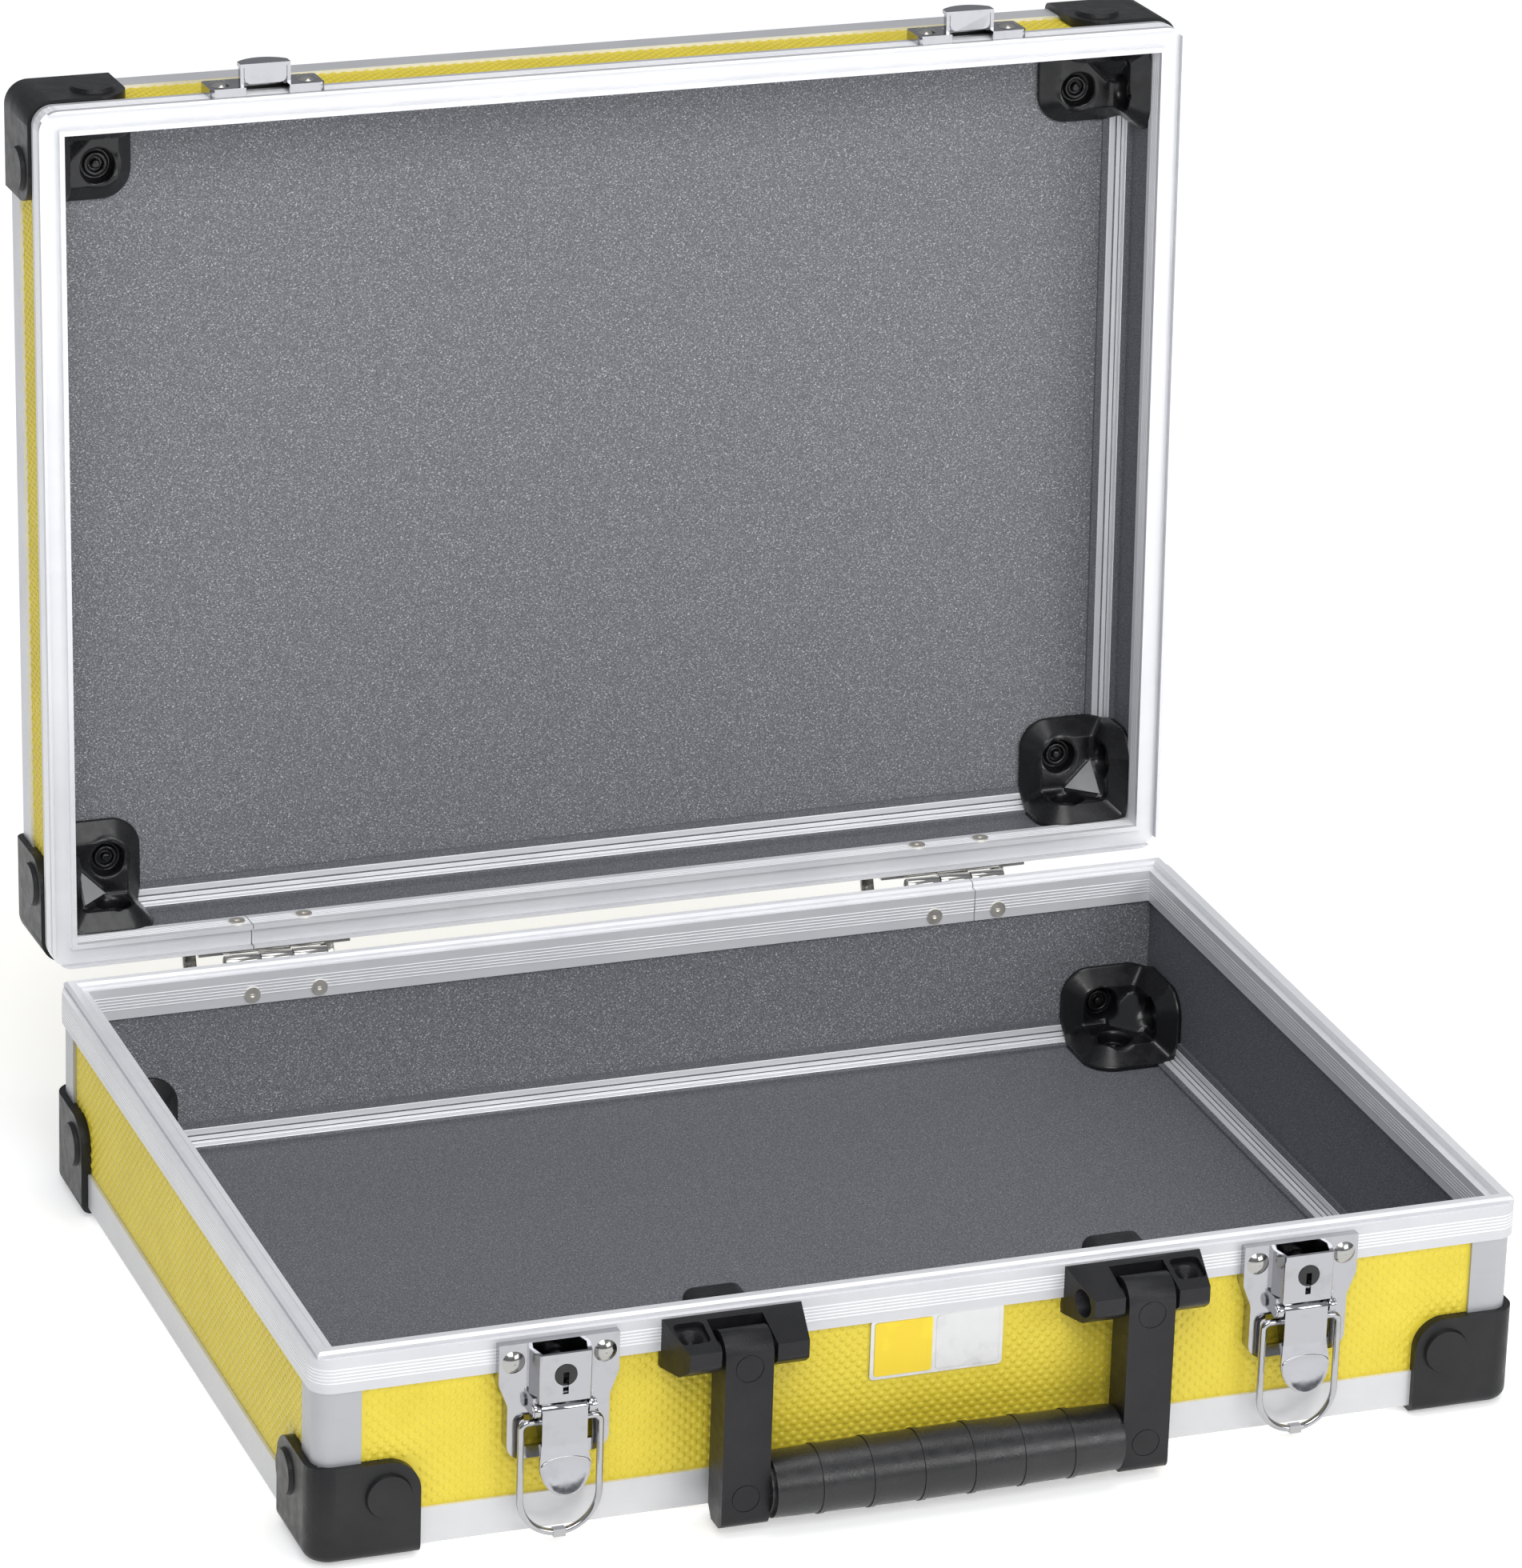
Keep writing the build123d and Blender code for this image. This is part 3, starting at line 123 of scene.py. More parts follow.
def ramp(tree, source, low, high, a, b):
    """Maps a value between low and high to between a and b."""
    node = add(tree, "ShaderNodeMapRange")
    for key, value in (("From Min", low), ("From Max", high), ("To Min", a), ("To Max", b)):
        node.inputs[key].default_value = value
    tree.links.new(source, node.inputs["Value"])
    return node.outputs["Result"]


def mix_color(tree, factor, a, b):
    node = tree.nodes.new("ShaderNodeMix")
    node.data_type = "RGBA"
    node.inputs["A"].default_value = (*a, 1)
    node.inputs["B"].default_value = (*b, 1)
    tree.links.new(factor, node.inputs["Factor"])
    return node.outputs["Result"]


def bump(tree, shader, height, strength, distance):
    node = add(tree, "ShaderNodeBump")
    node.inputs["Strength"].default_value = strength
    node.inputs["Distance"].default_value = distance
    tree.links.new(height, node.inputs["Height"])
    tree.links.new(node.outputs["Normal"], shader.inputs["Normal"])


# Materials
def make_yellow():
    material, tree, shader = new_material("yellow_panel", (0.68, 0.53, 0.035), 0.42)
    at = place(tree)
    tint = ramp(tree, noise(tree, at, 60, 3), 0.3, 0.7, 0, 1)
    color = mix_color(tree, tint, (0.66, 0.53, 0.032), (0.72, 0.585, 0.045))
    tree.links.new(color, shader.inputs["Base Color"])
    rough = ramp(tree, noise(tree, at, 900, 2), 0.3, 0.7, 0.34, 0.5)
    tree.links.new(rough, shader.inputs["Roughness"])
    bump(tree, shader, noise(tree, at, 2200, 3), 0.12, 0.0002)
    return material


def make_liner(name, dark, light, painted_glint_color, grain, depth):
    """Grained grey plastic: a fine hammered relief whose highest tops are painted near-white as short
    highlight specks.
    """
    material, tree, shader = new_material(name, light, 0.5)
    relief = noise(tree, place(tree, (1.0, 0.62, 1.3), (0.61, 0.37, 0.83)), grain, 2.5, 0.55)
    fine = noise(tree, place(tree, (1, 1, 1), (0.45, 0.72, 0.28)), grain * 2.7, 2, 0.5)
    height = add(tree, "ShaderNodeMath", operation="MULTIPLY_ADD")
    height.inputs[1].default_value = 0.3
    tree.links.new(fine, height.inputs[0])
    tree.links.new(relief, height.inputs[2])
    tone = mix_color(tree, ramp(tree, height.outputs[0], 0.48, 0.80, 0, 1), dark, light)
    # Painted highlights: the highest tops of the relief take a near-white colour.
    painted_glint = add(tree, "ShaderNodeMix", data_type="RGBA")
    painted_glint.inputs["B"].default_value = (*painted_glint_color, 1)
    tree.links.new(ramp(tree, height.outputs[0], 0.74, 0.90, 0, 1), painted_glint.inputs["Factor"])
    tree.links.new(tone, painted_glint.inputs["A"])
    tree.links.new(painted_glint.outputs["Result"], shader.inputs["Base Color"])
    tree.links.new(ramp(tree, height.outputs[0], 0.5, 0.9, 0.60, 0.34), shader.inputs["Roughness"])
    bump(tree, shader, height.outputs[0], 0.6, depth)
    return material


def make_aluminium(name, dark, light):
    """Satin anodised aluminium, drawn along its length."""
    material, tree, shader = new_material(name, light, 0.44, 0.35)
    shader.inputs["Anisotropic"].default_value = 0.3
    at = place(tree)
    streaks = noise(tree, place(tree, (40, 900, 900)), 1.0, 2)
    color = mix_color(tree, ramp(tree, noise(tree, at, 45, 4), 0.3, 0.7, 0, 1), dark, light)
    tree.links.new(color, shader.inputs["Base Color"])
    tree.links.new(ramp(tree, streaks, 0.3, 0.7, 0.36, 0.48), shader.inputs["Roughness"])
    bump(tree, shader, noise(tree, at, 3500, 2), 0.06, 0.0001)
    return material


def make_plastic(name, color, rough, grain, strength, shine=0.5):
    material, tree, shader = new_material(name, color, rough, Specular_IOR_Level=shine)
    at = place(tree)
    pale = tuple(c * 1.5 + 0.004 for c in color)
    worn = ramp(tree, noise(tree, at, 35, 4, 0.6), 0.45, 0.75, 0, 1)
    tree.links.new(mix_color(tree, worn, color, pale), shader.inputs["Base Color"])
    uneven = ramp(tree, noise(tree, at, 260, 3), 0.3, 0.7, rough - 0.06, rough + 0.08)
    tree.links.new(uneven, shader.inputs["Roughness"])
    bump(tree, shader, noise(tree, at, grain, 3, 0.6), strength, 0.00025)
    return material


def make_chrome(name, color, low, high):
    material, tree, shader = new_material(name, color, low, 1.0)
    at = place(tree)
    uneven = ramp(tree, noise(tree, at, 420, 4, 0.65), 0.35, 0.7, low, high)
    tree.links.new(uneven, shader.inputs["Roughness"])
    stain = ramp(tree, noise(tree, at, 130, 4, 0.6), 0.5, 0.8, 0, 1)
    dull = tuple(c * 0.82 for c in color)
    tree.links.new(mix_color(tree, stain, color, dull), shader.inputs["Base Color"])
    bump(tree, shader, noise(tree, at, 160, 2), 0.10, 0.0004)
    return material


yellow = make_yellow()
liner_coarse = make_liner(
    "liner_coarse", (0.108, 0.110, 0.122), (0.245, 0.248, 0.270), (0.74, 0.745, 0.76), 1900, 0.0005
)
liner_fine = make_liner(
    "liner_fine", (0.088, 0.091, 0.104), (0.180, 0.184, 0.204), (0.33, 0.336, 0.357), 2600, 0.0002
)
board_edge = make_plastic("board_edge", (0.10, 0.07, 0.045), 0.8, 900, 0.3)
aluminium = make_aluminium("aluminium_profile", (0.83, 0.835, 0.86), (0.89, 0.895, 0.91))
# A darker copy of the profile aluminium for the outer faces of rims and profiles: painted shade.
shaded_rim_aluminium = make_aluminium("shaded_rim_aluminium", (0.57, 0.573, 0.595), (0.62, 0.623, 0.64))
# A still darker copy of the aluminium for the corner posts: painted shade.
shaded_post_aluminium = make_aluminium("shaded_post_aluminium", (0.40, 0.403, 0.42), (0.44, 0.443, 0.455))
black_plastic = make_plastic("black_plastic", (0.009, 0.009, 0.010), 0.37, 2200, 0.55, 0.32)
gloss_black = make_plastic("inner_black_plastic", (0.006, 0.006, 0.007), 0.27, 1800, 0.10)
handle_plastic = make_plastic("handle_plastic", (0.008, 0.008, 0.0095), 0.36, 2200, 0.55, 0.30)
grip_plastic = make_plastic("handle_grip_plastic", (0.010, 0.010, 0.011), 0.30, 1500, 0.25, 0.5)
chrome = make_chrome("chrome_steel", (0.42, 0.42, 0.44), 0.07, 0.17)
hinge_steel = make_chrome("bright_steel", (0.40, 0.395, 0.38), 0.10, 0.22)
nickel = make_chrome("nickel_rivet", (0.90, 0.86, 0.78), 0.38, 0.50)
dark_steel = make_chrome("dark_steel", (0.22, 0.22, 0.23), 0.3, 0.45)
lock_core = make_plastic("lock_core", (0.006, 0.006, 0.006), 0.25, 900, 0.1)
badge_silver = make_chrome("badge_silver", (0.66, 0.66, 0.66), 0.32, 0.42)
badge_yellow = make_plastic("badge_yellow", (0.82, 0.60, 0.02), 0.35, 900, 0.05)
gusset_grey = make_plastic("gusset_grey", (0.27, 0.27, 0.273), 0.5, 900, 0.1)

SLOTS = {
    "yellow_panel": yellow,
    "aluminium_profile": aluminium,
    "black_plastic": black_plastic,
    "inner_black_plastic": gloss_black,
    "corner_rivet": black_plastic,
    "nickel_rivet": nickel,
    "bright_steel": hinge_steel,
    "chrome_steel": chrome,
    "lock_core": lock_core,
    "dark_steel": dark_steel,
    "handle_plastic": handle_plastic,
    "handle_grip_plastic": grip_plastic,
    "badge": badge_silver,
}

# Where each panel faces inwards, on the open case
HINGE_TURN = math.radians(-92.5)


def opened(vector):
    """A direction of the shut lid as it lies on the open one."""
    return Matrix.Rotation(HINGE_TURN, 3, "X") @ Vector(vector)


INWARD = {
    "base_floor_panel": Vector((0, 0, 1)),
    "base_front_panel": Vector((0, 1, 0)),
    "base_rear_panel": Vector((0, -1, 0)),
    "base_left_panel": Vector((1, 0, 0)),
    "base_right_panel": Vector((-1, 0, 0)),
    "lid_top_panel": opened((0, 0, -1)),
    "lid_front_panel": opened((0, 1, 0)),
    "lid_rear_panel": opened((0, -1, 0)),
    "lid_left_panel": Vector((1, 0, 0)),
    "lid_right_panel": Vector((-1, 0, 0)),
}

# Panels whose liner is smooth; the others' liner is coarsely grained
FINE_LINED = (
    "base_floor_panel", "base_left_panel", "base_right_panel",
    "lid_left_panel", "lid_right_panel", "lid_rear_panel",
)
# The least dot product between a face's normal and a way that it counts as facing
FACING = 0.9


def set_material(piece, material):
    piece.data.materials.clear()
    piece.data.materials.append(material)


def dress_panel(name, inward):
    """Yellow outside, liner inside, bare board at the edges."""
    piece = nodes[name]
    liner = liner_fine if name in FINE_LINED else liner_coarse
    piece.data.materials.clear()
    for material in (yellow, liner, board_edge):
        piece.data.materials.append(material)
    for face in piece.data.polygons:
        side = face.normal.dot(inward)
        face.material_index = 1 if side > FACING else 0 if side < -FACING else 2


def soften(piece, width, segments=2, angle=32):
    """Joins the faces' shared corners and rounds the sharp edges a little."""
    weld = piece.modifiers.new("weld", "WELD")
    weld.merge_threshold = 2e-6
    bevel = piece.modifiers.new("bevel", "BEVEL")
    bevel.width = width * MM
    bevel.segments = segments
    bevel.limit_method = "ANGLE"
    bevel.angle_limit = math.radians(angle)
    bevel.harden_normals = True
    bevel.use_clamp_overlap = True


for part in frame["record"]["subparts"]:
    name = part["node"]
    if name in INWARD:
        dress_panel(name, INWARD[name])
    else:
        set_material(nodes[name], SLOTS[part["material_slot"]])

# A darker copy of the aluminium on the posts as painted shade, and plain steel on the front's dome rivets
for shell in ("base", "lid"):
    set_material(nodes[f"{shell}_corner_posts"], shaded_post_aluminium)
for name in ("latch_plate_rivets", "lid_catch_rivets"):
    set_material(nodes[name], hinge_steel)


# Frames of the two shells, with the part's own sizes in millimetres
CASE_W, CASE_D = 345.0, 255.0
BASE_FORWARD = 16.4
HINGE = (0.0, 130.6, 60.2)
PANEL_INSET, FACE_INSET, CORE, CORE_TOP = 2.0, 1.0, 7.0, 6.0
POST_END, CORNER_END, CORNER_TOP = 13.5, 29.5, 26.0
FOOT = 3.2
# Height, rim flange and bottom strip of each shell, and its outer face on the shut case
SIZES = {"base": (57.6, 9.8, 10.4, FOOT), "lid": (35.0, 8.5, 8.4, 96.2)}
BODY = {"base": "case_base", "lid": "lid"}
WALLS = {
    "front": ((1, 0, 0), (0, -1, 0), CASE_D / 2, CASE_W),
    "rear": ((-1, 0, 0), (0, 1, 0), CASE_D / 2, CASE_W),
    "left": ((0, -1, 0), (-1, 0, 0), CASE_W / 2, CASE_D),
    "right": ((0, 1, 0), (1, 0, 0), CASE_W / 2, CASE_D),
}


def axes(origin, x_dir, z_dir):
    """A matrix from a local frame in millimetres, by its origin and two directions."""
    x, z = Vector(x_dir).normalized(), Vector(z_dir).normalized()
    y = z.cross(x)
    matrix = Matrix((x, y, z)).transposed().to_4x4()
    matrix.translation = Vector(origin)
    return matrix


def open_lid():
    """From the shut lid's coordinates to the open lid's."""
    hinge = Matrix.Translation(HINGE)
    return hinge @ Matrix.Rotation(HINGE_TURN, 4, "X") @ hinge.inverted()


BASE_PLACE = Matrix.Translation((0, -BASE_FORWARD, 0))


def shell_frame(shell):
    if shell == "base":
        return BASE_PLACE @ axes((0, 0, FOOT), (1, 0, 0), (0, 0, 1))
    return BASE_PLACE @ open_lid() @ axes((0, 0, SIZES["lid"][3]), (-1, 0, 0), (0, 0, -1))


def wall_frame(shell, wall, inset):
    along, out, half, _ = WALLS[wall]
    return shell_frame(shell) @ axes(Vector(out) * (half - inset), along, out)


def add_piece(name, verts, faces, body, material, smooth=False):
    """A mesh in millimetres of the case's own frame, that rides on a body."""
    mesh = bpy.data.meshes.new(name)
    mesh.from_pydata((np.asarray(verts) * MM).tolist(), [], faces)
    mesh.polygons.foreach_set("use_smooth", [smooth] * len(mesh.polygons))
    mesh.materials.append(material)
    mesh.update()
    piece = bpy.data.objects.new(name, mesh)
    scene.collection.objects.link(piece)
    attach(piece, body)
    return piece


def moved(matrix, points):
    points = np.asarray(points, float)
    matrix = np.array(matrix)
    return points @ matrix[:3, :3].T + matrix[:3, 3]


def tube_faces(first, rings, count, closed_ends=True):
    """Faces of a tube whose rings of verts follow each other from a first index."""
    faces = []
    for r in range(rings - 1):
        here, there = first + r * count, first + (r + 1) * count
        for k in range(count):
            n = (k + 1) % count
            faces.append((here + k, here + n, there + n, there + k))
    if closed_ends:
        faces.append(tuple(first + k for k in range(count)))
        faces.append(tuple(first + (rings - 1) * count + k for k in reversed(range(count))))
    return faces


def recalculate(piece):
    """Turns every face of closed pieces outwards."""
    mesh = bmesh.new()
    mesh.from_mesh(piece.data)
    bmesh.ops.recalc_face_normals(mesh, faces=mesh.faces)
    mesh.to_mesh(piece.data)
    mesh.free()


# Embossed dots on the yellow panels
DOT_PITCH = 3.3
DOT_RADIUS = 1.08
DOT_HEIGHT = 0.34


def dot_shape(sides, rings):
    """One low dome: rings of (radius, height), then its tip. Its open foot is sunk in the panel."""
    verts = []
    for radius, height in rings:
        for k in range(sides):
            a = 2 * math.pi * (k + 0.5) / sides
            verts.append((radius * math.cos(a), radius * math.sin(a), height))
    verts.append((0, 0, DOT_HEIGHT))
    faces = tube_faces(0, len(rings), sides, False)
    last = (len(rings) - 1) * sides
    for k in range(sides):
        faces.append((last + k, last + (k + 1) % sides, len(verts) - 1))
    return np.array(verts), faces


FINE_DOT = dot_shape(6, ((DOT_RADIUS, -0.03), (DOT_RADIUS * 0.62, DOT_HEIGHT * 0.72)))
PLAIN_DOT = dot_shape(6, ((DOT_RADIUS, -0.03),))


def emboss(name, shell, matrix, half_x, low, high, covered, shape):
    """Fills a panel's free area with staggered dots, apart from what covers it."""
    rows = int((high - low - 2 * DOT_RADIUS) / (DOT_PITCH / 2)) + 1
    columns = int(2 * (half_x - DOT_RADIUS) / DOT_PITCH)
    first_y = (low + high) / 2 - (rows - 1) * DOT_PITCH / 4
    spots = []
    for row in range(rows):
        y = first_y + row * DOT_PITCH / 2
        for column in range(-columns // 2 - 1, columns // 2 + 2):
            x = (column + 0.5 * (row % 2)) * DOT_PITCH
            if abs(x) > half_x - DOT_RADIUS:
                continue
            if not any(x0 < x < x1 and y0 < y < y1 for x0, x1, y0, y1 in covered):
                spots.append((x, y, 0))
    shape_verts, shape_faces = shape
    spots = np.array(spots)
    verts = (spots[:, None, :] + shape_verts).reshape(-1, 3)
    size = len(shape_verts)
    faces = [tuple(size * k + i for i in face) for k in range(len(spots)) for face in shape_faces]
    add_piece(name, moved(matrix, verts), faces, BODY[shell], yellow, True)


LATCH_X, BRACKET_X = 106.0, 57.3
# What stands on a wall between its dots: (half width, low edge, high edge) about each middle
LATCH_PLATE, BRACKET, CATCH = (14, 27, 60), (19, 44, 60), (16.7, 24, 40)
BADGE_AREA = (-17.5, 21.5, 29.4, 48.2)
HINGE_LEAF_HALF, HINGE_LEAF_DROP = 23, 20.5
FRAME_LAP = 0.4


def pair_of_areas(middle, half, low, high):
    """Two areas (low x, high x, low y, high y), at the same distance left and right of the middle."""
    return [(x - half, x + half, low, high) for x in (-middle, middle)]


def emboss_walls():
    for shell in ("base", "lid"):
        height, flange, strip, _ = SIZES[shell]
        for wall in WALLS:
            half = WALLS[wall][3] / 2
            covered = pair_of_areas(half, CORNER_END, 0, CORNER_TOP)
            if wall == "front" and shell == "base":
                covered += pair_of_areas(LATCH_X, *LATCH_PLATE)
                covered += pair_of_areas(BRACKET_X, *BRACKET)
                covered.append(BADGE_AREA)
            if wall == "front" and shell == "lid":
                covered += pair_of_areas(LATCH_X, *CATCH)
            if wall == "rear":
                covered += pair_of_areas(LATCH_X, HINGE_LEAF_HALF, height - HINGE_LEAF_DROP, height)
            matrix = wall_frame(shell, wall, PANEL_INSET)
            low, high = strip - FRAME_LAP, height - flange + FRAME_LAP
            emboss(f"{shell}_{wall}_dots", shell, matrix, half - POST_END, low, high, covered, FINE_DOT)


def emboss_faces():
    """The lid's top and the underside of the base."""
    for shell in ("base", "lid"):
        covered = []
        for y in (-CASE_D / 2, CASE_D / 2):
            covered += pair_of_areas(CASE_W / 2, CORNER_END, y - CORNER_END, y + CORNER_END)
        matrix = shell_frame(shell) @ axes((0, 0, FACE_INSET), (1, 0, 0), (0, 0, -1))
        half_x, half_y = CASE_W / 2 - CORE, CASE_D / 2 - CORE
        emboss(f"{shell}_face_dots", shell, matrix, half_x, -half_y, half_y, covered, PLAIN_DOT)


# Relief of the aluminium: ribs on the inner trims, beads round the rims
# Ribs of a trim leg: middle, half width and height
TRIM_RIBS = ((0.95, 0.68, 0.24), (3.05, 0.98, 0.24))
# A rib's section from its edge inwards: distance from the edge, share of its height
RIB_EDGE = ((0.12, 0.85), (0.25, 1.0))
SUNK = 0.02
INNER_REACH = 32.0
OUTER_DEPTH, TRIM_MARGIN, UPRIGHT = 2.5, 1.2, 0.7
BEAD_COUNT, BEAD_PITCH, RIM_THICKNESS, RIM_RADIUS = 5, 0.95, 7.3, 6.0
# A bead's section: how far it stands out of the rim, and the height along the rim
BEAD = ((-0.1, -0.27), (0.07, -0.19), (0.13, 0.0), (0.07, 0.19), (-0.1, 0.27))
SEAMS = {"base": 108.7, "lid": 112.4}
SEAM_HALF = 0.15
ARC_STEPS, ARC_STEP = 6, 15


def add_relief(name, shell, verts, faces):
    verts = moved(shell_frame(shell), verts)
    recalculate(add_piece(name, verts, faces, BODY[shell], aluminium))


def shade_profiles(shell):
    """Painted shade on the profiles: a darker aluminium on the outer faces, and the liner's grey on the
    inner trim legs, so that only their ribs shine.
    """
    to_shell = np.array(shell_frame(shell).inverted())
    rim, edges = nodes[f"{shell}_rim_frame"], nodes[f"{shell}_edge_profiles"]
    rim.data.materials.append(shaded_rim_aluminium)
    edges.data.materials.append(liner_fine)
    edges.data.materials.append(shaded_rim_aluminium)
    for piece in (rim, edges):
        for face in piece.data.polygons:
            x, y, z = to_shell[:3, :3] @ (np.array(face.center) / MM) + to_shell[:3, 3]
            upright = abs((to_shell[:3, :3] @ np.array(face.normal))[2]) < UPRIGHT
            past_side = max(abs(x) - CASE_W / 2, abs(y) - CASE_D / 2)
            # Outer upright faces take the darker aluminium copy: painted shade.
            if past_side > -OUTER_DEPTH and upright:
                face.material_index = len(piece.data.materials) - 1
            # Inner trim legs take the liner's dark grey: painted shade between their ribs.
            elif piece is edges and past_side < TRIM_MARGIN - CORE and z > CORE_TOP - TRIM_MARGIN:
                face.material_index = 1


def rib_section(half, height):
    """Points (across, out of the leg) of one rib, from one foot to the other."""
    rising = [(-half + inset, height * share) for inset, share in RIB_EDGE]
    falling = [(half - inset, height * share) for inset, share in reversed(RIB_EDGE)]
    return [(-half, -SUNK)] + rising + falling + [(half, -SUNK)]


def make_ribs(shell):
    """Two ribs on each leg of the trims, along all four walls."""
    verts, faces = [], []
    for along, out, half, length in WALLS.values():
        reach = length / 2 - INNER_REACH
        along, out = Vector(along), Vector(out)
        for middle, rib_half, rib_height in TRIM_RIBS:
            section = rib_section(rib_half, rib_height)
            for upright in (False, True):
                first = len(verts)
                for end in (-reach, reach):
                    for across, rise in section:
                        a = middle + across
                        inward, up = (rise, a) if upright else (a, rise)
                        foot = out * (half - CORE - inward) + along * end
                        verts.append(foot + Vector((0, 0, CORE_TOP + up)))
                faces += tube_faces(first, 2, len(section))
    add_relief(f"{shell}_trim_ribs", shell, verts, faces)


def rim_path(half_x, half_y, radius, seam):
    """Points and outward normals round a rim, from one side of its seam to the other."""
    path = [((seam + SEAM_HALF, half_y), (0, 1))]
    for sx, sy, start in ((1, 1, 90), (1, -1, 0), (-1, -1, -90), (-1, 1, -180)):
        mx, my = sx * (half_x - radius), sy * (half_y - radius)
        if radius:
            for k in range(ARC_STEPS + 1):
                a = math.radians(start - ARC_STEP * k)
                nx, ny = math.cos(a), math.sin(a)
                path.append(((mx + radius * nx, my + radius * ny), (nx, ny)))
        else:
            path.append(((mx, my), (sx, sy)))
    path.append(((seam - SEAM_HALF, half_y), (0, 1)))
    return path


def make_beads(shell):
    """Five thin beads round the rim's outer side, and five round its inner side."""
    height, flange, _, _ = SIZES[shell]
    verts, faces = [], []
    for inset, radius, sign in ((0.0, RIM_RADIUS, 1), (RIM_THICKNESS, 0.0, -1)):
        path = rim_path(CASE_W / 2 - inset, CASE_D / 2 - inset, radius, SEAMS[shell])
        for number in range(BEAD_COUNT):
            level = height - flange / 2 + (number - (BEAD_COUNT - 1) / 2) * BEAD_PITCH
            first = len(verts)
            for (x, y), (nx, ny) in path:
                verts += [(x + sign * nx * n, y + sign * ny * n, level + z) for n, z in BEAD]
            faces += tube_faces(first, len(path), len(BEAD))
    add_relief(f"{shell}_rim_beads", shell, verts, faces)


# Blank badge: a coloured field in a silver plate with a thin raised border
def rounded_plate(cx, cy, width, height, radius, low, high, edge, steps=5):
    """Rings of a plate with rounded corners and a small chamfer round its top."""
    rings = []
    for inset, level in ((0.0, low), (0.0, high - edge), (edge * 0.3, high - edge * 0.3), (edge, high)):
        ring = []
        for corner, (sx, sy) in enumerate(((1, 1), (-1, 1), (-1, -1), (1, -1))):
            r = max(radius - inset, 0.05)
            mx, my = cx + sx * (width / 2 - inset - r), cy + sy * (height / 2 - inset - r)
            for k in range(steps + 1):
                a = math.radians(corner * 90 + 90 * k / steps)
                ring.append((mx + r * math.cos(a), my + r * math.sin(a), level))
        rings.append(ring)
    count = len(rings[0])
    verts = [p for ring in rings for p in ring]
    ends = [tuple(reversed(range(count))), tuple(range((len(rings) - 1) * count, len(rings) * count))]
    return verts, ends + tube_faces(0, len(rings), count, False)


BADGE_PLACE = (2.0, -126.3, 42.0)
BADGE_HEIGHT, BADGE_RADIUS, BADGE_SUNK = 15.9, 0.9, -0.1
# Each field's name, middle, width, height above the plate, chamfer and material
BADGE_FIELDS = (
    ("badge_field", -9.6, 16.6, 0.22, 0.12, badge_yellow),
    ("badge_blank", 8.9, 18.2, 0.12, 0.08, badge_silver),
)


def make_badge():
    matrix = BASE_PLACE @ axes(BADGE_PLACE, (1, 0, 0), (0, -1, 0))
    for name, middle, width, high, edge, material in BADGE_FIELDS:
        verts, faces = rounded_plate(middle, 0, width, BADGE_HEIGHT, BADGE_RADIUS, BADGE_SUNK, high, edge)
        add_piece(name, moved(matrix, verts), faces, "case_base", material)


# Moulded inner corners, as one smooth surface round a distance field
CORNER_LOW = np.array((6.0, 6.0, 5.0))
CORNER_SIZE = np.array((28.6, 28.6, 23.4))
# Each wall of a moulding: outline, thickness at its edge, slope of its border and its plateau
OUTLINE_INSET, OUTLINE_RADIUS, EDGE_THICKNESS, BORDER_SLOPE, PLATEAU = 0.4, 9.0, 1.3, 0.95, 6.2
# Turns a height above the sloping border into about the distance from it
DEPTH_SCALE = 0.6
# The slanted face across the corner, and how far it reaches past the plateaus
FACET, FACET_REACH = 30.0, 9.0
# Cups in the plateaus, each with a ring and a knob in it
CUP_SPOTS = ((17.0, 12.6), (17.0, 12.6), (17.2, 17.2))
CUP_RADIUS, CUP_FLOOR, CUP_FLARE = 4.3, 2.2, 0.12
RING_RADIUS, RING_HALF, RING_HEIGHT, KNOB_RADIUS, KNOB_HEIGHT, RING_FOOT = 2.9, 0.55, 1.4, 1.3, 1.9, 1.0
# The outline dips where two walls of the case meet
DIP_DEPTH, DIP_SLOPE, DIP_SCALE = 3.2, 0.45, 1.18
# How round each step joins the next: walls, facet, cups, rings, dips
ROUND_WALLS, ROUND_FACET, ROUND_CUP, ROUND_RING, ROUND_DIP = 0.9, 0.6, 0.7, 0.35, 0.8
GRID_STEP, GRID_MARGIN = 0.5, 1.5
LABEL_LIFT, LABEL_THICKNESS = 1.1, 0.45
# The corners of a shell: side in x, side in y, and the way that a moulding's own x runs
MOULDING_PLACES = (
    (-1, -1, (1, 0, 0)),
    (1, -1, (0, 1, 0)),
    (1, 1, (-1, 0, 0)),
    (-1, 1, (0, -1, 0)),
)


def blend_min(a, b, k):
    """The lower of two distances, rounded where they are near each other."""
    h = np.clip(0.5 + 0.5 * (b - a) / k, 0, 1)
    return b * (1 - h) + a * h - k * h * (1 - h)


def cut_away(solid, hole, k):
    return -blend_min(-solid, hole, k)


def moulding_wall(coords, axis):
    """A plate on one wall, with a rounded outline and a border that slopes up to its plateau."""
    depth = coords[axis]
    p, q = [coords[k] for k in range(3) if k != axis]
    size_p, size_q = [CORNER_SIZE[k] - OUTLINE_INSET for k in range(3) if k != axis]
    dp, dq = p - (size_p - OUTLINE_RADIUS), q - (size_q - OUTLINE_RADIUS)
    outside = np.hypot(np.maximum(dp, 0), np.maximum(dq, 0))
    edge = outside + np.minimum(np.maximum(dp, dq), 0) - OUTLINE_RADIUS
    top = EDGE_THICKNESS + np.clip(-edge * BORDER_SLOPE, 0, PLATEAU - EDGE_THICKNESS)
    return np.maximum((depth - top) * DEPTH_SCALE, edge)


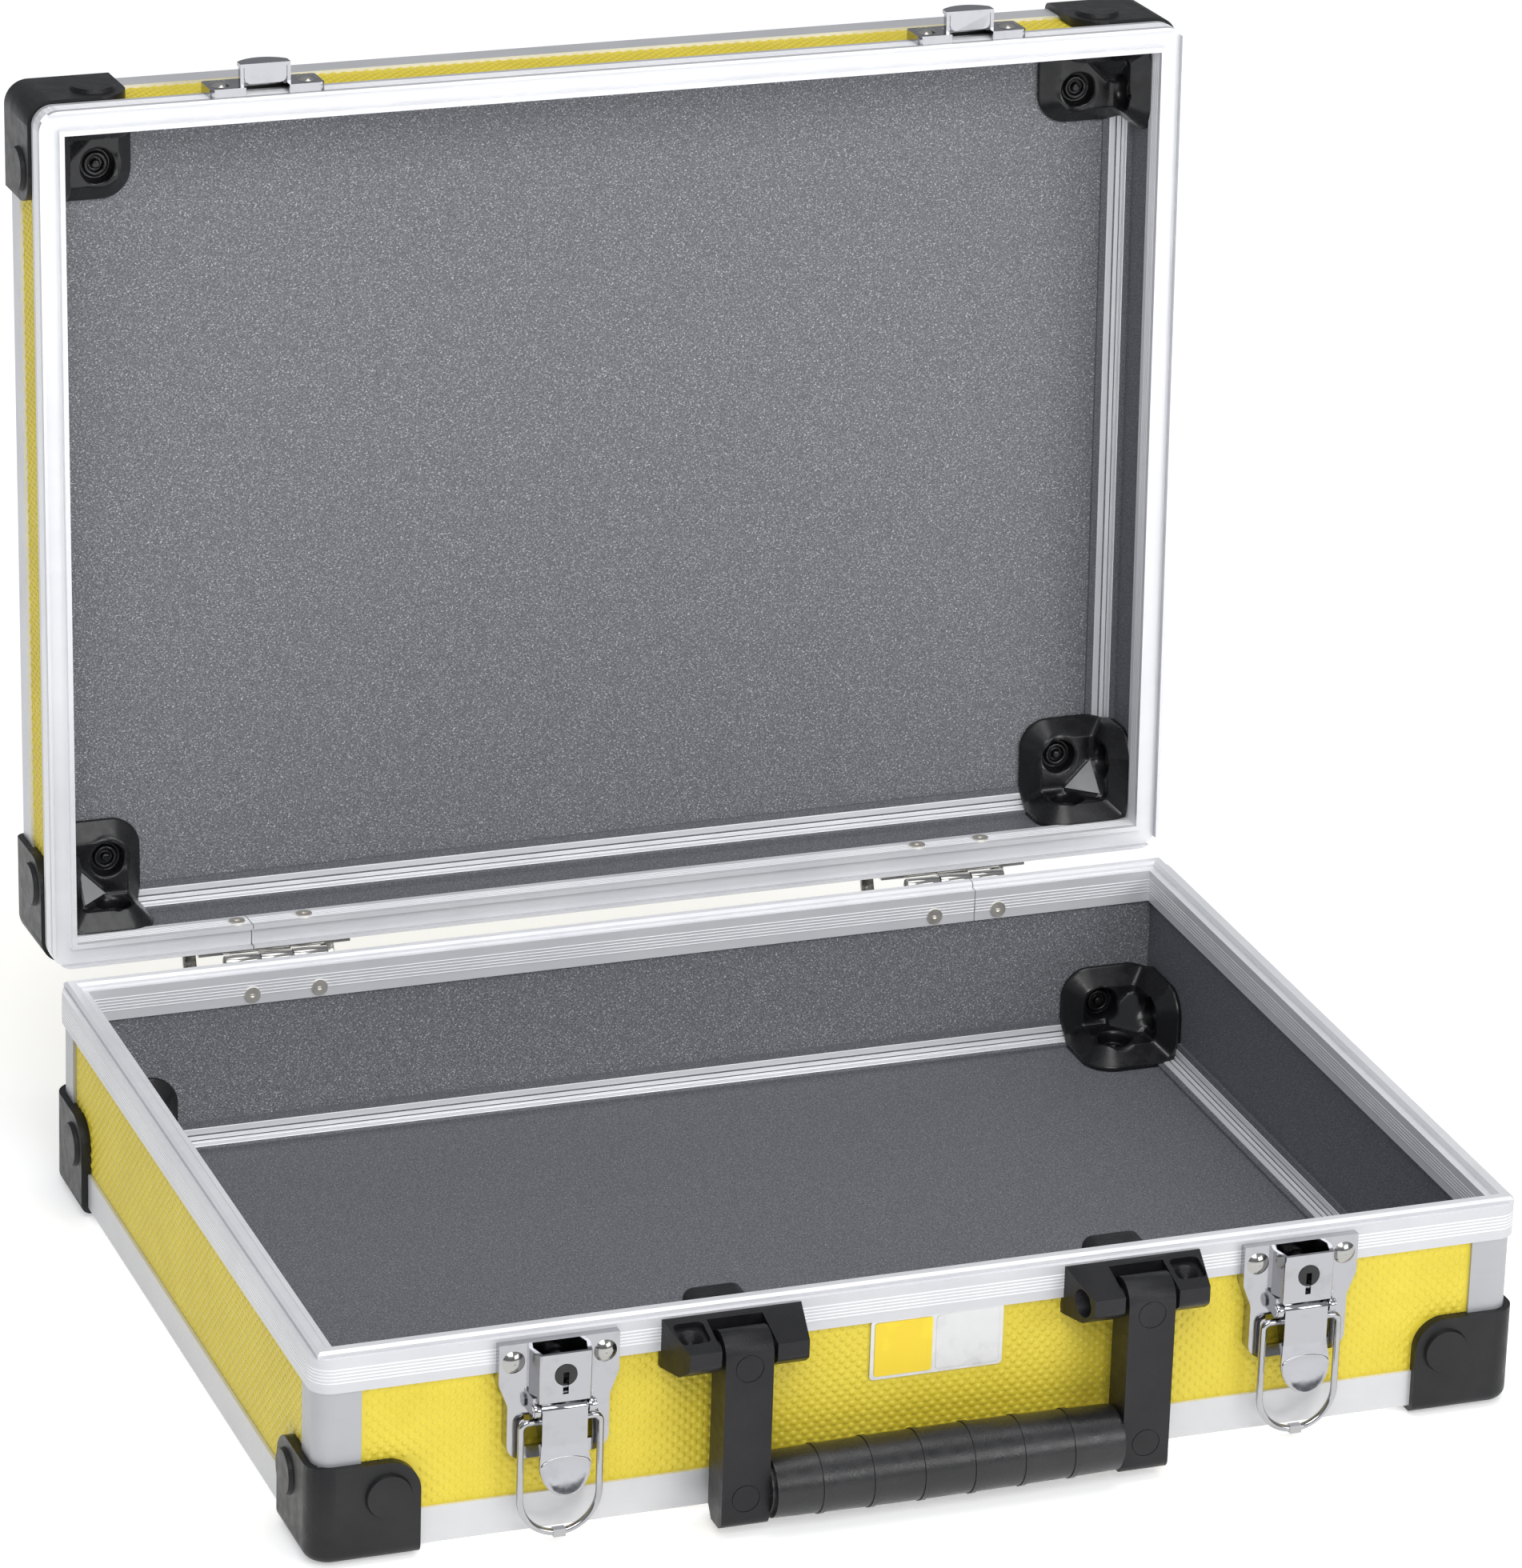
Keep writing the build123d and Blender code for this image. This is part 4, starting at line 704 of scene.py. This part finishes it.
def cut_cup(solid, coords, axis):
    depth = coords[axis]
    p, q = [coords[k] for k in range(3) if k != axis]
    spot_p, spot_q = CUP_SPOTS[axis]
    away = np.hypot(p - spot_p, q - spot_q)
    cup = np.maximum(away - CUP_RADIUS - CUP_FLARE * depth, CUP_FLOOR - depth)
    solid = cut_away(solid, cup, ROUND_CUP)
    ring = np.maximum(np.abs(away - RING_RADIUS) - RING_HALF, depth - CUP_FLOOR - RING_HEIGHT)
    knob = np.maximum(away - KNOB_RADIUS, depth - CUP_FLOOR - KNOB_HEIGHT)
    inside = np.minimum(np.maximum(ring, RING_FOOT - depth), np.maximum(knob, RING_FOOT - depth))
    return blend_min(solid, inside, ROUND_RING)


def moulding_field(coords):
    """Distance to the moulding, in its own corner's coordinates; below zero is inside."""
    x, y, z = coords
    solid = moulding_wall(coords, 0)
    for axis in (1, 2):
        solid = blend_min(solid, moulding_wall(coords, axis), ROUND_WALLS)
    facet = (x + y + z - FACET) / math.sqrt(3)
    near = np.maximum(facet, np.maximum(np.maximum(x, y), z) - (PLATEAU + FACET_REACH))
    solid = blend_min(solid, near, ROUND_FACET)
    for axis in range(3):
        solid = cut_cup(solid, coords, axis)
    for axis in range(3):
        others = sum(coords[k] for k in range(3) if k != axis)
        dip = (coords[axis] - DIP_SLOPE * others - CORNER_SIZE[axis] + DIP_DEPTH) / DIP_SCALE
        solid = cut_away(solid, -dip, ROUND_DIP)
    wall = np.maximum(np.maximum(-x, -y), -z)
    return np.maximum(solid, wall)


def net_verts(field, crossed, shape):
    """The middle of the points where the surface crosses the edges of each cell."""
    def window(values, corner):
        i, j, k = corner
        return values[i: i + shape[0], j: j + shape[1], k: k + shape[2]]

    total, hits = np.zeros((*shape, 3)), np.zeros(shape)
    for axis in range(3):
        for corner in [c for c in np.ndindex(2, 2, 2) if not c[axis]]:
            beyond = tuple(v + (k == axis) for k, v in enumerate(corner))
            a, b = window(field, corner), window(field, beyond)
            through = (a < 0) != (b < 0)
            t = np.where(through, a / np.where(through, a - b, 1), 0)
            for k in range(3):
                total[..., k] += np.where(through, corner[k] + (t if k == axis else 0), 0)
            hits += through
    return np.argwhere(crossed) + total[crossed] / hits[crossed][:, None]


def surface_net(field, low, step):
    """Verts and quads of the field's zero surface: one vert in each cell that it crosses."""
    inside = field < 0
    shape = [n - 1 for n in field.shape]
    count = np.zeros(shape, int)
    for i, j, k in np.ndindex(2, 2, 2):
        count += inside[i: i + shape[0], j: j + shape[1], k: k + shape[2]]
    crossed = (count > 0) & (count < 8)
    index = -np.ones(shape, int)
    index[crossed] = np.arange(crossed.sum())
    faces = []
    for axis in range(3):
        u, v = (axis + 1) % 3, (axis + 2) % 3
        here, ahead = [slice(None)] * 3, [slice(None)] * 3
        here[axis], ahead[axis] = slice(0, -1), slice(1, None)
        for spot in np.argwhere(inside[tuple(here)] != inside[tuple(ahead)]):
            if spot[u] < 1 or spot[v] < 1 or spot[u] >= shape[u] or spot[v] >= shape[v]:
                continue
            around = []
            for du, dv in ((-1, -1), (0, -1), (0, 0), (-1, 0)):
                cell = spot.copy()
                cell[u] += du
                cell[v] += dv
                around.append(int(index[tuple(cell)]))
            faces.append(tuple(around if inside[tuple(spot)] else reversed(around)))
    return net_verts(field, crossed, shape) * step + low, faces


def moulding_net():
    """One moulding's verts and faces, in its own corner's coordinates."""
    low = np.full(3, -GRID_MARGIN)
    counts = ((CORNER_SIZE + 2 * GRID_MARGIN) / GRID_STEP).astype(int) + 1
    ticks = [low[k] + GRID_STEP * np.arange(counts[k]) for k in range(3)]
    verts, faces = surface_net(moulding_field(np.meshgrid(*ticks, indexing="ij")), low, GRID_STEP)
    return verts + CORNER_LOW, faces


def label_verts():
    """A thin triangle on the facet: its three corners below and above."""
    flat = PLATEAU + LABEL_LIFT
    tip = FACET - 2 * flat
    corners = np.array([(tip, flat, flat), (flat, tip, flat), (flat, flat, tip)]) + CORNER_LOW
    return np.concatenate((corners, corners + LABEL_THICKNESS))


def make_inner_mouldings():
    net, quads = moulding_net()
    label = label_verts()
    labels, label_faces = [], []
    for shell in ("base", "lid"):
        verts, faces = [], []
        for sx, sy, x_dir in MOULDING_PLACES:
            matrix = shell_frame(shell) @ axes((sx * CASE_W / 2, sy * CASE_D / 2, 0), x_dir, (0, 0, 1))
            first = len(verts)
            verts += moved(matrix, net).tolist()
            faces += [tuple(first + k for k in quad) for quad in quads]
            if shell == "lid" and sy == 1:
                label_faces += tube_faces(len(labels), 2, 3)
                labels += moved(matrix, label).tolist()
        name = f"{shell}_inner_mouldings"
        piece = add_piece(name, verts, faces, BODY[shell], gloss_black, True)
        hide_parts(f"{shell}_inner_corners")
        recalculate(piece)
    name = "lid_corner_labels"
    recalculate(add_piece(name, labels, label_faces, "lid", gusset_grey))


# Small pieces of the handle and the latches, measured from the ground up
BACKING_HALF, BACKING_LOW, BACKING_TOP = 8.3, 44.0, 60.4
BACKING_FRONT, BACKING_BACK, BACKING_RADIUS, BACKING_SOFT = -7.45, -16.15, 3.0, 0.6
CREASE_UP, TIP_UP, LEVER_OUT, TIP_OUT = 31.4, 17.7, 8.2, 10.8
DISH_MIDDLE, DISH_HALF, DISH_UP, DISH_DOWN, DISH_SIDES = 26.2, 6.75, 2.2, 8.2, 40
# Rings of the hollow: share of its outline, and height above the lever
DISH_RINGS = (
    (0.0, 0.03), (0.3, 0.04), (0.55, 0.09), (0.75, 0.18),
    (0.88, 0.28), (0.96, 0.36), (1.0, 0.37), (1.03, -0.03),
)


def make_backing_caps():
    """The tops of the handle's backing plates, seen above the front rim."""
    outline = [(-BACKING_HALF, BACKING_LOW), (BACKING_HALF, BACKING_LOW)]
    for sign, start in ((1, 0), (-1, 90)):
        cx, cz = sign * (BACKING_HALF - BACKING_RADIUS), BACKING_TOP - BACKING_RADIUS
        for k in range(ARC_STEPS + 1):
            a = math.radians(start + ARC_STEP * k)
            outline.append((cx + BACKING_RADIUS * math.cos(a), cz + BACKING_RADIUS * math.sin(a)))
    verts, faces = [], []
    for middle in (-BRACKET_X, BRACKET_X):
        faces += tube_faces(len(verts), 2, len(outline))
        for depth in (BACKING_FRONT, BACKING_BACK):
            verts += [(middle + x, z - FOOT, depth) for x, z in outline]
    verts = moved(wall_frame("base", "front", 0.0), verts)
    piece = add_piece("handle_backing_caps", verts, faces, "case_base", black_plastic)
    recalculate(piece)
    soften(piece, BACKING_SOFT)


def make_lever_dishes():
    """The pressed thumb hollow in each lever's tab."""
    slope = (TIP_OUT - LEVER_OUT) / (CREASE_UP - TIP_UP)
    for side, middle in (("left", -LATCH_X), ("right", LATCH_X)):
        verts = []
        for scale, rise in DISH_RINGS:
            for k in range(DISH_SIDES):
                a = 2 * math.pi * k / DISH_SIDES
                x = scale * DISH_HALF * math.cos(a)
                up = DISH_MIDDLE + scale * math.sin(a) * (DISH_UP if math.sin(a) > 0 else DISH_DOWN)
                verts.append((middle + x, up - FOOT, LEVER_OUT + (CREASE_UP - up) * slope + rise))
        faces = tube_faces(0, len(DISH_RINGS), DISH_SIDES, False)
        verts = moved(wall_frame("base", "front", 0.0), verts)
        name, body = f"latch_dish_{side}", f"latch_lever_{side}"
        recalculate(add_piece(name, verts, faces, body, chrome, True))


make_backing_caps()
make_lever_dishes()
emboss_walls()
emboss_faces()
for shell in ("base", "lid"):
    shade_profiles(shell)
    make_ribs(shell)
for shell in ("base", "lid"):
    make_beads(shell)
make_badge()
make_inner_mouldings()

# How far the sharp edges of the solids are rounded, by material slot, in millimetres
SOFTEN = {
    "black_plastic": 0.45,
    "inner_black_plastic": 0.5,
    "handle_plastic": 0.5,
    "chrome_steel": 0.18,
    "bright_steel": 0.18,
}
for part in frame["record"]["subparts"]:
    width = SOFTEN.get(part["material_slot"])
    if width:
        soften(nodes[part["node"]], width)


# Light and floor
FLOOR_REACH = 6.0
# Each light's name, place and target in metres, size and power in watts
LIGHTS = (
    ("key", (-0.5, -2.0, 1.8), (0, 0, 0.12), (1.3, 1.0), 25),
    ("front", (1.1, -2.0, 0.9), (0, 0, 0.15), (1.2, 0.8), 14),
    ("top", (0.2, -0.3, 2.2), (0, 0, 0), (1.2, 1.2), 12),
)


def make_floor():
    data = bpy.data.meshes.new("floor")
    r = FLOOR_REACH
    data.from_pydata([(-r, -r, 0), (r, -r, 0), (r, r, 0), (-r, r, 0)], [], [(0, 1, 2, 3)])
    floor = bpy.data.objects.new("floor", data)
    scene.collection.objects.link(floor)
    material, _, shader = new_material("floor", (0.90, 0.90, 0.90), 0.8)
    shader.inputs["Emission Color"].default_value = (1, 1, 1, 1)
    shader.inputs["Emission Strength"].default_value = 0.42
    data.materials.append(material)


def make_light(name, place_at, target, size, power):
    data = bpy.data.lights.new(name, "AREA")
    data.shape = "RECTANGLE"
    data.size, data.size_y = size
    data.energy = power
    light = bpy.data.objects.new(name, data)
    light.location = place_at
    light.rotation_euler = (Vector(target) - Vector(place_at)).to_track_quat("-Z", "Y").to_euler()
    scene.collection.objects.link(light)


def make_world():
    """Dim studio walls under a brighter ceiling."""
    world = bpy.data.worlds.new("studio")
    world.use_nodes = True
    tree = world.node_tree
    coord = add(tree, "ShaderNodeTexCoord")
    split = add(tree, "ShaderNodeSeparateXYZ")
    tree.links.new(coord.outputs["Generated"], split.inputs[0])
    level = ramp(tree, split.outputs["Z"], 0.05, 0.9, 0, 1)
    color = mix_color(tree, level, (0.26, 0.27, 0.29), (0.62, 0.63, 0.65))
    tree.links.new(color, tree.nodes["Background"].inputs["Color"])
    tree.nodes["Background"].inputs["Strength"].default_value = 0.85
    scene.world = world
    scene.view_settings.view_transform = "Standard"


make_floor()
make_world()
for light in LIGHTS:
    make_light(*light)
